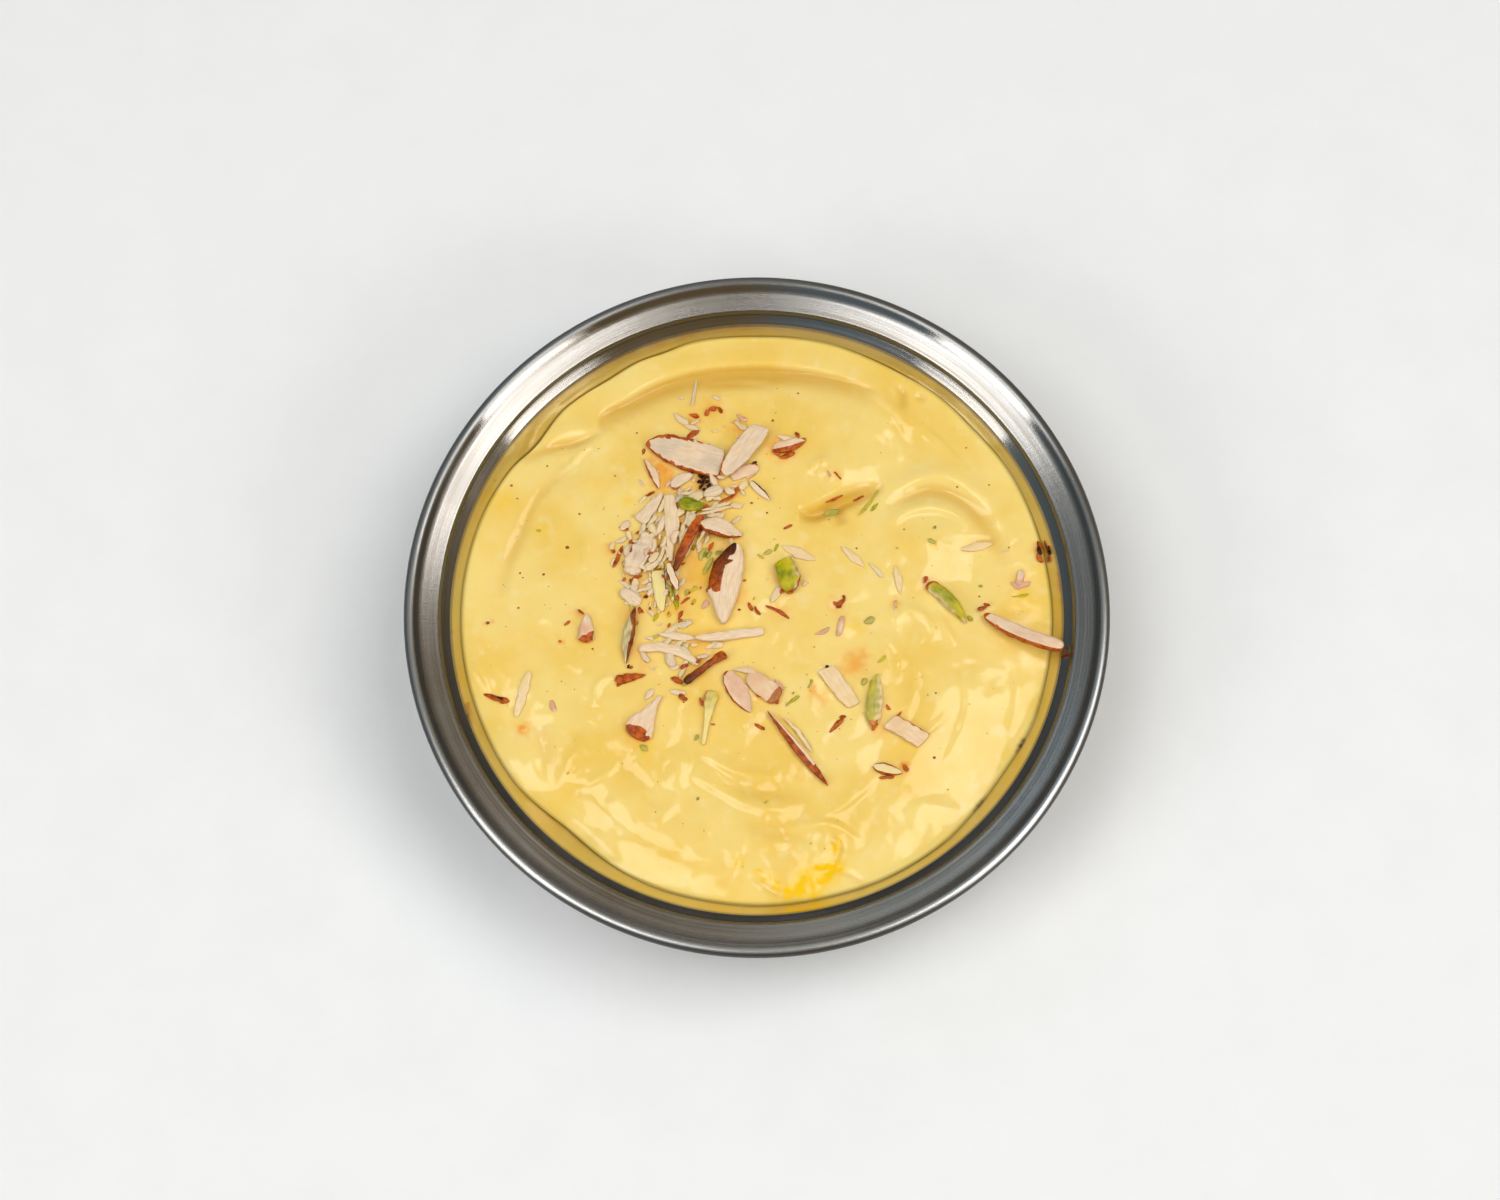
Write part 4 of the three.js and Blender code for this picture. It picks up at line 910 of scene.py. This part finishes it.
def makeNut(node, look, seed, material):
    # the CAD sliver's own frame and size, with the outline and the layers of its look
    middle, axes, (length, width, thick) = nutFrame(node)
    bow = look.get("bow", 0.0)
    rows, columns = nutShape["grid"]
    local, layers = nutSurface(look, (length, width - abs(bow), thick), seed, (rows, columns))
    local[:, 1] -= bow / 2
    points = middle + local @ axes - [0, 0, look.get("sink", nutShape["sink"])]
    points, layers = withPoles(points, layers, columns)
    faces = [gridQuads(rows, columns, True), *fanCaps(rows, columns)]
    piece = meshFrom(node + "_nut", points, faces, material, layers)
    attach(piece, "root")
    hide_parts(node)
    kind = "pistachio" if node.startswith("pistachio") else "almond_skin" if "skin" in node else "almond"


nutFlesh = nutMaterial()
firstSeed, seedStep = nutShape["seeds"]
for order, (node, look) in enumerate(nutLooks.items()):
    makeNut(node, look, firstSeed + seedStep * order, nutFlesh)
print("nuts laid:", len(nutLooks))


# smaller scraps of the same garnish, each kind one joined piece: x, y, length, width, direction in degrees,
# and how far it is lifted by what lies under it. thick is their thickness as a share of the width, tones are
# the same for all of a kind, vary is the most that is added to a tone at random. Further ones are strewn in
# clusters: x, y, spread along x and y, direction, how many, least and most length, and height of the heap
scraps = {
    "almondScraps": dict(thick=0.4, tones=dict(grey=0.1), vary=dict(grey=0.5, rosy=0.3, pale=0.35),
        slot="almond",
        clusters=[(-24.5, 13, 2.6, 5, 65, 44, 0.8, 3.2, 1.1), (-17.5, 17, 2.6, 6, 72, 30, 0.8, 3.4, 1.3),
        (-19.5, 5, 3, 3, 70, 16, 0.8, 2.8, 0.6), (-9, 24, 3, 3, 25, 14, 1, 3.4, 0.8),
        (-17, -7, 4, 2.4, 0, 16, 1, 3.4, 0.5), (-9, 41, 6, 4, 0, 8, 0.7, 2, 0.1)],
        places=[(-13.4, 25.9, 4.8, 2.6, 30, 0.5), (-9.3, 26.6, 4.4, 2.8, 20, 1.3),
        (-9.4, 29.6, 3.4, 1.6, -65, 1), (-14.2, 20.6, 3.4, 2.6, 85, 0.8), (-15.8, 16, 5.8, 1.6, 72, 1.3),
        (-9, 22.6, 8, 0.8, 16, 1.3), (-11.3, 19.7, 3.4, 0.7, 32, 2.3), (-11.8, 16.6, 4.6, 0.7, 62, 2.3),
        (-2.6, -12.6, 5, 1.6, -8, 0.7), (-22.2, 18.6, 3.2, 1.8, -70, 0.9), (-24, 5.6, 3.6, 1.3, 22, 0.5),
        (-18.4, -3.4, 3.6, 1.4, 30, 0.4), (-18.2, -10, 3.6, 2.4, -70, 0.3), (-15, -9, 5.6, 1.3, -52, 0.5),
        (-15.8, -11.8, 4.4, 1.5, 70, 0.2), (-16.4, 44.2, 4.2, 1.9, -38, 0.1),
        (-14.2, 42, 3.4, 1.3, -20, 0.2), (-13.6, 50.2, 7.6, 0.9, 82, 0.1), (-13.4, 43.4, 2.2, 1, 30, 0.3),
        (-3.4, 42.6, 3.2, 1.6, -30, 0.1), (6.4, 39.2, 4.6, 1.5, -18, 0.3), (-9.6, 26.6, 4.4, 2.2, 60, 0.9),
        (-5.9, 27.2, 2.6, 1.5, -30, 0.8), (-8.6, 23.8, 7, 0.9, 17, 1), (-11, 33.2, 2.2, 1, 20, 0.6),
        (-21.6, 31, 3, 0.8, 70, 0.1), (-14.8, 27, 3.4, 1, 12, 0.9), (-15.2, 21.4, 4.6, 1.2, 75, 1.1),
        (-13.6, 22.2, 3.6, 1, 50, 1.3), (-20.2, 24.2, 4.2, 1.1, 62, 0.8), (-22.6, 24.8, 3.6, 1.3, 66, 0.5),
        (-24.4, 25.6, 2.8, 0.8, 48, 0.2), (-16, 17.6, 5.4, 1.1, 80, 1), (-14.4, 14.4, 4.4, 1, 68, 0.9),
        (-20.8, 19.6, 4.8, 1.5, 70, 0.8), (-22.6, 20.4, 3.6, 1.2, 50, 0.8),
        (-24.6, 18.6, 3.4, 1.2, 75, 0.6), (-28.4, 19.8, 2.8, 2, 40, 0.1), (-31, 15.2, 2, 1.5, 80, 0.1),
        (-29.2, 16.6, 2.6, 1.2, 20, 0.2), (-27.4, 17.4, 2.4, 1.2, 110, 0.4), (-22.4, 14.6, 4, 1.1, 78, 1.3),
        (-20.8, 12.6, 4.4, 1.2, 68, 1.2), (-24, 12, 3.8, 1.3, 62, 1.5), (-25.4, 14.2, 3.2, 1.4, 30, 1.5),
        (-23.2, 16.8, 2.8, 1.2, 15, 1.5), (-26.8, 11.2, 2.6, 1.3, 20, 1.2), (-19.4, 13.6, 3, 1, 100, 1),
        (-22.4, 10.6, 3.6, 1.3, 40, 1.2), (-20, 15.8, 3, 1, 60, 1.2), (-24.6, 10, 2.4, 1.2, 150, 1.4),
        (-28.4, 6.6, 3.2, 1.2, -35, 0.1), (-26.4, 5.4, 3, 1.3, -50, 0.3), (-27.2, 2.6, 2.6, 1, 10, 0.1),
        (-23.6, 7.2, 2.4, 1.1, 20, 0.2), (-17.4, 8.6, 3.2, 1, 75, 0.5), (-16, 7, 2.4, 0.9, 50, 0.1),
        (-18.6, -9.8, 3.4, 2, -60, 0.1), (-17.4, -3.2, 3.2, 1.3, 65, 0.2), (-9, -7, 4.2, 1.5, 12, 0.1),
        (-16.8, -17, 3.6, 1.3, -10, 0.1), (4.2, 4.4, 4.4, 1.8, 60, 0.1), (8.6, -26.4, 10, 0.9, -51, 0.5),
        (25.6, 9.9, 4.6, 1, -44, 0), (-22.8, -17.6, 3.2, 1.4, 50, 0.1), (-5.2, 15, 3.6, 0.9, -75, 1.5),
        (-9.4, 20.6, 4.2, 1.2, 30, 1), (-7.6, 30.4, 2, 1, 10, 1), (-19.6, 6.6, 2.4, 0.8, 120, 0.6),
        (-3.2, 27.4, 2.4, 0.8, -60, 0.2), (-26.4, -4.4, 2.2, 0.8, 80, 0.8), (18.6, -17.6, 2.6, 1, -50, 0.4),
        (-30.6, 11.6, 2.2, 0.9, 60, 0.1), (-25, 29.4, 2.2, 0.7, -60, 0), (53.4, 14.4, 1.8, 0.5, 10, 0),
        (10.4, 6.8, 1.6, 1, 40, 0.1), (-10.8, 16.4, 2.4, 1, 70, 0.6), (-19.2, 21.6, 3.2, 0.9, 85, 1.2)]),
    "skinScraps": dict(thick=0.35, tones=dict(skin=1, dark=-0.3), vary=dict(dark=0.55), slot="almond_skin",
        clusters=[(-24, 12, 4, 6, 65, 22, 0.5, 1.7, 0.9), (-15, 8, 3, 8, 65, 16, 0.5, 1.6, 0.4),
        (-6, 0, 12, 12, 20, 12, 0.4, 1.2, 0)],
        places=[(-13.6, 44.8, 2.4, 0.9, -15, 0.3), (-13.9, 40.4, 3.4, 1.2, 32, 0.3),
        (-10.8, 45.4, 1.6, 1.1, 60, 0.1), (-9.6, 46.4, 1.9, 1.2, 20, 0.1), (-8, 46.2, 1.8, 1, -50, 0.1),
        (4.2, 36, 2.4, 1.1, -40, 0.4), (6.6, 35.6, 3.6, 1.3, 20, 0.4), (9.6, 38.4, 2.8, 1.2, 50, 0.4),
        (8.8, 40.2, 1.6, 0.8, 120, 0.3), (-23, 26.8, 2.4, 0.7, 28, 0.4), (-6.4, 25.6, 3.6, 0.9, 25, 1.1),
        (-4.6, 27.2, 2.6, 0.8, 60, 0.9), (-11.6, 19, 4.6, 0.9, 70, 1.1), (-9.2, 18.2, 2.6, 1, 30, 1),
        (-29.8, 12.8, 5.6, 0.9, 68, 0.2), (-26.8, 14.2, 3.2, 0.8, 75, 1.4), (-28.6, 19, 2.2, 0.9, -20, 0.4),
        (-31, 14.4, 1.8, 0.8, -60, 0.2), (-21.6, 9.2, 2.2, 0.9, 30, 0.8), (-19, 9.4, 4.4, 0.7, 80, 1),
        (-20.4, 8.2, 1.8, 0.8, -30, 1), (-23.8, 4, 1.2, 0.8, 30, 0.3), (-16.3, -0.2, 2.4, 0.8, 65, 0.1),
        (-15.3, 3, 2.6, 0.6, 35, 0.1), (4.4, 0.5, 6, 0.9, -28, 0.1), (-1.4, 1.6, 2.2, 0.8, -65, 0.2),
        (0.2, 0.8, 2.4, 0.9, -58, 0.1), (5.2, 5, 1.6, 0.9, 70, 0.4), (6.7, 19.4, 2.3, 0.7, 25, 0.1),
        (-17, -14.6, 2.9, 1.5, -28, 0.3), (-15.7, -18.2, 2.2, 1.4, -40, 0.3), (-29, -15, 2.2, 1.2, 50, 0.3),
        (-15.4, -11.6, 2, 1, 40, 0.7), (-11.8, -19.2, 2.2, 0.7, -75, 0.6), (0.6, -24.5, 2.6, 1, -32, 0.1),
        (3.4, -18.8, 3, 1.4, -38, 0.8), (0.4, -17.7, 1.7, 1.2, -40, 0.7), (17.8, 2.4, 2.6, 1.2, 50, 0.2),
        (17.2, 2.2, 2.2, 1, -30, 0.2), (18.6, 3.6, 1.6, 0.8, 100, 0.2), (16.9, -24.3, 4.4, 1, 42, 0.1),
        (18.2, -22.4, 1.6, 0.8, 10, 0.1), (24.9, -24.4, 2.2, 1.2, 60, 0.3),
        (27.9, -20.3, 1.5, 0.7, -60, 0.2), (29.8, -22, 2.4, 0.6, 40, 0.3),
        (31.4, -33.4, 1.8, 1.1, -60, 0.3), (27.4, -35.4, 3.4, 1, 4, 0.1),
        (-55.4, -17.9, 5.8, 1.3, -17, 0.2), (-53.6, -18.8, 2.2, 1, 15, 0.2),
        (-37.6, 0.6, 1.8, 0.8, -40, 0.6), (16.7, 26, 4.2, 0.7, 24, 0), (22, 26.4, 2.8, 0.6, 28, 0),
        (17.4, 30.8, 2.4, 0.5, -48, 0), (-12.4, -10.4, 1.6, 0.7, 40, 1.2), (36.2, 7.6, 1.6, 1, 60, 0.9),
        (60.6, 15.4, 2.6, 1.3, -80, 0.5), (60.9, 12.9, 2.4, 1.4, -60, 0.5), (48.2, 1.6, 2.2, 1.2, 20, 0.7),
        (49.2, 2.4, 1.6, 0.7, -20, 0.9), (-24.6, 36.6, 1.6, 0.6, 80, 0.1), (-9.8, 14.8, 2.6, 0.8, 62, 0.5),
        (-8.9, 11, 2, 0.8, 75, 0.6), (-22.8, 13, 1.4, 0.6, 20, 1.9), (-25.6, 8.2, 2.2, 0.8, 20, 0.8),
        (-40.5, -1.8, 1.8, 0.5, 40, 0), (-18.4, 5.2, 2.8, 0.6, 70, 0.6), (-1.2, -12.6, 1.6, 0.6, 20, 0.5),
        (-7.2, 6.8, 2.2, 0.6, 80, 0.2)]),
    "pistachioScraps": dict(thick=0.4, tones=dict(green=0.8), vary=dict(green=0.4, veil=0.4),
        slot="pistachio",
        clusters=[(-20, 9, 3.6, 7, 70, 22, 0.6, 2, 0.8), (-8, 11, 4, 5, 60, 14, 0.6, 2.2, 0.1),
        (4, -4, 22, 22, 30, 18, 0.4, 1.2, 0)],
        places=[(16.1, 22.9, 3.4, 1.7, 12, 0.2), (24, -1.2, 2.5, 1.6, 20, 0.2),
        (22.8, -14.8, 1.8, 1.2, 40, 0.2), (-10.4, 10.6, 4.4, 1.2, 62, 0.1),
        (-11.6, 13.2, 3.2, 1.2, 70, 0.1), (-9, 8, 2.6, 1.1, 80, 0), (-17.6, 4.8, 3, 1.4, 60, 0.1),
        (-17.4, 2.2, 2.4, 1.4, 100, 0), (2.4, 13.6, 2.2, 1, 20, 0), (0.8, 12.8, 1.8, 0.8, -30, 0),
        (7.6, -19, 3.8, 0.8, 38, 0), (11.3, -15.2, 2.2, 0.8, 60, 0), (24.2, 25.2, 8.2, 0.8, 53, 0),
        (-12.9, -26.8, 1.6, 0.8, 60, 0), (-15.2, -15.2, 1.8, 0.8, 20, 0.1), (37.6, 16.3, 2, 1.2, -20, 0),
        (-23.9, -29.2, 2.2, 1.4, -35, 0), (56.4, 4.6, 4, 0.6, 8, 0), (-47, 19, 1.2, 0.8, 0, 0),
        (-12.5, -40, 0.9, 0.6, 50, 0), (25.3, 24.1, 2.6, 0.8, 48, 0), (26.6, -9.8, 2.4, 0.9, 40, 0),
        (4.2, 14.8, 2, 0.8, 60, 0), (-21.6, -0.6, 2.2, 0.8, 60, 0.1), (-26.8, 1.2, 1.8, 0.9, 80, 0.6),
        (45.6, -0.6, 1.6, 0.9, -60, 0.2), (-13.4, 5.6, 1.8, 0.9, 60, 0)]),
    "darkCrumbs": dict(thick=0.9, tones=dict(skin=1, dark=2.5), slot="almond_skin",
        places=[(-12.2, 30.8, 1.1, 1, 10, 0.5), (-11.5, 30.1, 1.4, 1.1, 70, 0.6),
        (-10.9, 30.9, 1.3, 1, 40, 0.6), (-12.5, 29.6, 1, 0.8, 30, 0.4), (-11.7, 28.9, 1.4, 1, 90, 0.6),
        (-10.7, 29.4, 1.1, 1, 20, 0.7), (-10.3, 28.4, 1.3, 1, 60, 0.6), (-11.4, 27.7, 1, 0.8, 0, 0.5),
        (-12.2, 28.2, 0.9, 0.7, 40, 0.4), (-9.9, 30.2, 1, 0.8, 80, 0.6), (-11, 26.8, 1, 0.7, 10, 0.5),
        (-11.1, 30.4, 1, 0.8, 0, 1.1), (-0.5, 33.8, 1.3, 0.7, 20, 0.6), (-0.3, 32.2, 1, 0.6, 60, 0.5),
        (-14, 31.6, 0.8, 0.5, 30, 0.4), (-27.3, -11.4, 1, 0.6, 60, 0.4), (-23.6, 3.8, 0.7, 0.5, 0, 0.4),
        (14.9, -11.6, 1, 0.7, 30, 0.6), (-54.6, -18, 1.4, 0.7, -17, 0.5), (60.7, 14.4, 2.2, 1, -70, 0.8),
        (-11.7, 32.5, 1, 0.7, 0, 0.5)]),
    "pinkScraps": dict(thick=0.35, tones=dict(rosy=2.2, skin=0.32), slot="almond_skin",
        places=[(-11.2, 2.2, 2.2, 1.4, 60, 0.1), (17.8, -2.6, 4.8, 2, 75, 0.1), (14, -3.6, 3.6, 1, 24, 0),
        (56.4, 8.4, 3.8, 2, 80, 0.1), (57.2, 7, 3.2, 1.6, 20, 0.1), (55.6, 6.8, 2.6, 1.4, -30, 0.1),
        (-43.3, -19.9, 2.8, 1.4, -70, 0.1), (-3.2, 44.4, 2.8, 1, -35, 0.2), (-4.6, 43.6, 2, 0.9, 20, 0.2),
        (-1.2, 31.4, 3, 1.8, 60, 0.2), (15.6, 31.4, 1.6, 0.7, -60, 0), (29.6, 2.2, 2.6, 0.8, 75, 0),
        (-35.4, -5.4, 2, 1.4, 60, 0.6), (4.8, -15.4, 3, 1.2, -50, 0.3), (29.8, 8.6, 2.2, 0.8, 85, 0)]),
}
# the random shape of every scrap, in mm and shares
scrapShape = {
    "corners": (-1, -0.6, 0.1, 0.7, 1),         # along, where its outline has corners
    "reach": (0.25, 0.8, 1, 0.85, 0.3),         # how far out they are there
    "uneven": (0.6, 1.1),
    "bow": 0.04,
    "square": (3, 6),
    "cup": (-0.3, 0.3),
    "slant": (-0.5, 0.5),
    "rough": 1.3,
    "steepest": 0.4,                            # most slope taken over from the cream
    "leans": (0.05, 0.12),                      # random lean along and across
    "thinnest": 0.3,
    "seat": 0.22,                               # its middle's height over the cream, in thicknesses
    "strewnLift": 0.3,                          # most random lift of a strewn one,
    "strewnWidth": (0.3, 0.65),                 # its width as a share of its length,
    "strewnTurn": 32,                           # and how widely its direction spreads, in degrees
    "grid": (12, 10),
}


def strewScraps(kind, dice):
    # further scraps spread as a bell round each cluster, lifted most at its middle
    s = scrapShape
    found = []
    for x, y, wide, tall, lean, count, least, most, heap in kind.get("clusters", []):
        away = dice.normal(0, 1, (count, 2)).clip(-2, 2)
        lengths = dice.uniform(least, most, count)
        lifts = heap * np.exp(-(away ** 2).sum(1) / 1.6) + dice.uniform(0, s["strewnLift"], count)
        widths = lengths * dice.uniform(*s["strewnWidth"], count)
        turns = lean + dice.normal(0, s["strewnTurn"], count)
        found += list(zip(x + away[:, 0] * wide, y + away[:, 1] * tall, lengths, widths, turns, lifts))
    return found


def scrapField(name, kind, material):
    # every scrap is a small nut surface, turned to its direction, leaned with the cream and set on it:
    # centre z = cream + lift + thickness * seat
    s = scrapShape
    dice = np.random.default_rng(len(name))
    rows, columns = s["grid"]
    quads, (first, last) = gridQuads(rows, columns, True), fanCaps(rows, columns)
    allPoints, allLayers, faces = [], [], []
    places = kind["places"] + strewScraps(kind, dice)
    x, y, _, _, turns, _ = np.array(places).T
    step = np.stack([np.cos(np.radians(turns)), np.sin(np.radians(turns))])
    levels = creamHeight(x + step[0] * [[-1], [0], [1]], y + step[1] * [[-1], [0], [1]])
    slopes = np.clip((levels[2] - levels[0]) / 2, -s["steepest"], s["steepest"])
    slopes = slopes + dice.normal(0, s["leans"][0], len(places))
    for order, (x, y, length, width, _, lift) in enumerate(places):
        reach = dice.uniform(*s["uneven"], (5, 2)) * np.array(s["reach"])[:, None]
        edges = [(u, -right, left) for u, (right, left) in zip(s["corners"], reach)]
        look = dict(kind["tones"], edges=edges, bow=dice.normal(0, s["bow"]) * length, rough=s["rough"],
                    square=dice.uniform(*s["square"]), cup=dice.uniform(*s["cup"]),
                    slant=dice.uniform(*s["slant"], 2))
        for tone, most in kind.get("vary", {}).items():
            look[tone] = look.get(tone, 0.0) + dice.uniform(0, most)
        thick = max(width * kind["thick"], s["thinnest"])
        local, layers = nutSurface(look, (length, width, thick), 3 * order + 5, (rows, columns))
        layers["skin"] = layers["skin"] + kind["tones"].get("skin", 0.0)
        along = np.array([*step[:, order], slopes[order]])
        along = along / np.linalg.norm(along)
        left = np.cross([0, 0, 1.0], along)
        left = left / np.linalg.norm(left) + [0, 0, dice.normal(0, s["leans"][1])]
        axes = np.stack([along, left, np.cross(along, left)])
        middle = np.array([x, y, levels[1][order] + lift + thick * s["seat"]])
        points, layers = withPoles(middle + local @ axes, layers, columns)
        start = order * len(points)
        allPoints.append(points)
        allLayers.append(np.stack(list(layers.values())))
        faces.append((quads + start, first + start, last + start))
    values = dict(zip(layers, np.concatenate(allLayers, axis=1)))
    joined = [np.concatenate(sets) for sets in zip(*faces)]
    piece = meshFrom(name, np.concatenate(allPoints), joined, material, values)
    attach(piece, "root")
    return len(places)


# dots of ground spice: listed ones as x, y, size; more are strewn by a seed
spice = {
    "places": [(-53, 29.3, 0.7), (-51.7, 26.3, 0.5), (-45.4, 33.8, 0.5), (-38.2, 22.6, 0.6),
        (-40.7, 15.1, 0.9), (-50.8, 9.5, 0.5), (-50.2, 8.5, 0.4), (-51, 1.8, 0.6), (-57.5, -1.5, 0.9),
        (-45.7, 9.1, 0.7), (-42, -5.7, 0.8), (-35, -7.4, 0.5), (9, 50, 0.6), (3.5, 43.7, 0.7),
        (-26, 41, 0.5), (11.3, -49.5, 0.4), (38, -17.2, 0.5), (37.5, -31, 0.8), (43.3, 28.8, 0.5),
        (31.7, 19, 0.5), (45.4, 37.8, 0.5), (50.2, 29.3, 0.5), (54.2, 15.2, 0.5), (47.7, 4.5, 0.5),
        (-1.1, 24.8, 0.7), (48.8, -25.6, 0.4), (21.4, 14.8, 0.5), (2.2, 22.6, 0.5), (-30.6, 31.2, 0.5)],
    "strewn": 170, "least": 0.12, "most": 0.34, "seed": 5,
    "spread": 58,                 # how far from the middle they are strewn
    "sides": 8,
    "flatness": 0.6,              # height as a share of the width
    "colours": {"rust": "cc661a", "umber": "8a481a"},
}


def spiceDots():
    # flattened eight-sided dots half sunk in the cream, p = centre + size * (ring, height)
    s = spice
    dice = np.random.default_rng(s["seed"])
    angle = dice.uniform(0, 2 * np.pi, s["strewn"])
    away = s["spread"] * dice.uniform(0.02, 1, s["strewn"]) ** 0.5
    sizes = dice.uniform(s["least"], s["most"], s["strewn"])
    strewn = np.stack([away * np.cos(angle), away * np.sin(angle), sizes], -1)
    dots = np.concatenate([np.array(s["places"], float), strewn])
    turn = np.linspace(0, 2 * np.pi, s["sides"], endpoint=False)
    shape = np.stack([np.outer((0.8, 1.0, 0.6), np.cos(turn)), np.outer((0.7, 0.85, 0.5), np.sin(turn)),
                      np.outer((-0.5, 0.0, 0.45), np.ones(s["sides"]))], -1).reshape(-1, 3)
    shape = np.concatenate([shape, [[0, 0, -0.6], [0, 0, 0.6]]]) / 2
    middle = np.stack([dots[:, 0], dots[:, 1], creamHeight(dots[:, 0], dots[:, 1])], -1)
    points = (middle[:, None] + shape[None] * dots[:, 2, None, None] * [1, 1, s["flatness"]]).reshape(-1, 3)
    starts = (np.arange(len(dots)) * len(shape))[:, None, None]
    parts = (gridQuads(3, s["sides"], True), *fanCaps(3, s["sides"]))
    make = Maker("spice")
    spotty = make.noise(make.place(), 90.0).ramp(0.45, 0.55)
    make.set(Base_Color=make.mix(spotty, *linear(s["colours"]).values()), Roughness=0.5)
    faces = [(part[None] + starts).reshape(-1, part.shape[1]) for part in parts]
    piece = meshFrom("spiceDots", points, faces, make.material)
    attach(piece, "root")


total = sum(scrapField(name, kind, nutFlesh) for name, kind in scraps.items())
spiceDots()
print("scraps laid:", total)


# floor and light
floorLook = {"reach": 4000.0, "colours": {"low": "eeefef", "high": "f6f7f7"}, "roughness": 0.8}


def makeFloor(look):
    make = Maker("paleTable")
    grain = make.noise(make.place(), 60.0, 5.0, 0.6)
    make.set(Base_Color=make.mix(grain, *linear(look["colours"]).values()), Roughness=look["roughness"],
             Normal=make.bump(grain, 0.0006, 0.4))
    corners = np.array([(-1, -1, 0), (1, -1, 0), (1, 1, 0), (-1, 1, 0)]) * look["reach"]
    floor = meshFrom("paleFloor", corners, [np.array([[0, 1, 2, 3]])], make.material)


# soft white lights over the table: place in metres, size across and along, power
softLights = {
    "leftPanel": ((-0.5, -0.24, 1.6), (0.7, 0.72), 7.6),
    "rightPanel": ((0.62, 0.0, 1.6), (0.74, 0.88), 9.8),
    "leftFront": ((-1.05, -0.66, 1.0), (0.55, 0.55), 4.6),
    "rightFront": ((1.05, -0.66, 1.0), (0.55, 0.55), 4.6),
}


def makeLights():
    for name, (place, size, power) in softLights.items():
        data = bpy.data.lights.new(name, "AREA")
        data.shape = "RECTANGLE"
        data.size, data.size_y = size
        data.energy = power
        light = bpy.data.objects.new(name, data)
        light.location = place
        light.rotation_euler = (Vector((0, 0, 0)) - Vector(place)).to_track_quat("-Z", "Y").to_euler()
        scene.collection.objects.link(light)


# the world that the steel mirrors, by direction: colours, and bright patches high behind the bowl
skyLook = {
    "pale": (0.9, 0.9, 0.9),
    "dark": (0.09, 0.09, 0.085),
    "left": (0.19, 0.25, 0.29),
    "right": (0.25, 0.18, 0.085),
    "overhead": (0.42, 0.41, 0.39),
    # direction, colour, width
    "patches": [((-0.09, 0.66, 0.745), (0.85, 0.87, 0.84), 0.02),
                ((-0.2, 0.624, 0.756), (0.45, 0.6, 0.62), 0.008),
                ((-0.357, 0.479, 0.802), (0.2, 0.42, 0.62), 0.012)],
}


def makeWorld(look):
    # pale round the horizon and below it, dark above that, then bluish grey at the left and brown at the
    # right, and grey overhead
    make = Maker("studio", bpy.data.worlds, "Background")
    x, y, z = make.split(make.add("ShaderNodeTexCoord", output="Generated"))
    sky = make.mix(x.ramp(-0.14, 0.06), look["left"], look["right"])
    sky = make.mix(z.ramp(0.88, 0.97), sky, look["overhead"])
    sky = make.mix(z.ramp(0.45, 0.65), look["dark"], sky)
    for direction, colour, width in look["patches"]:
        toward = x * direction[0] + y * direction[1] + z * direction[2]
        sky = make.mix(toward.ramp(1 - width, 1 - width * 0.2), sky, colour)
    make.set(Color=make.mix(z.ramp(0.12, 0.2), look["pale"], sky))
    scene.world = make.material


makeFloor(floorLook)
makeLights()
makeWorld(skyLook)
scene.view_settings.view_transform = "Standard"
print("floor and lights set")
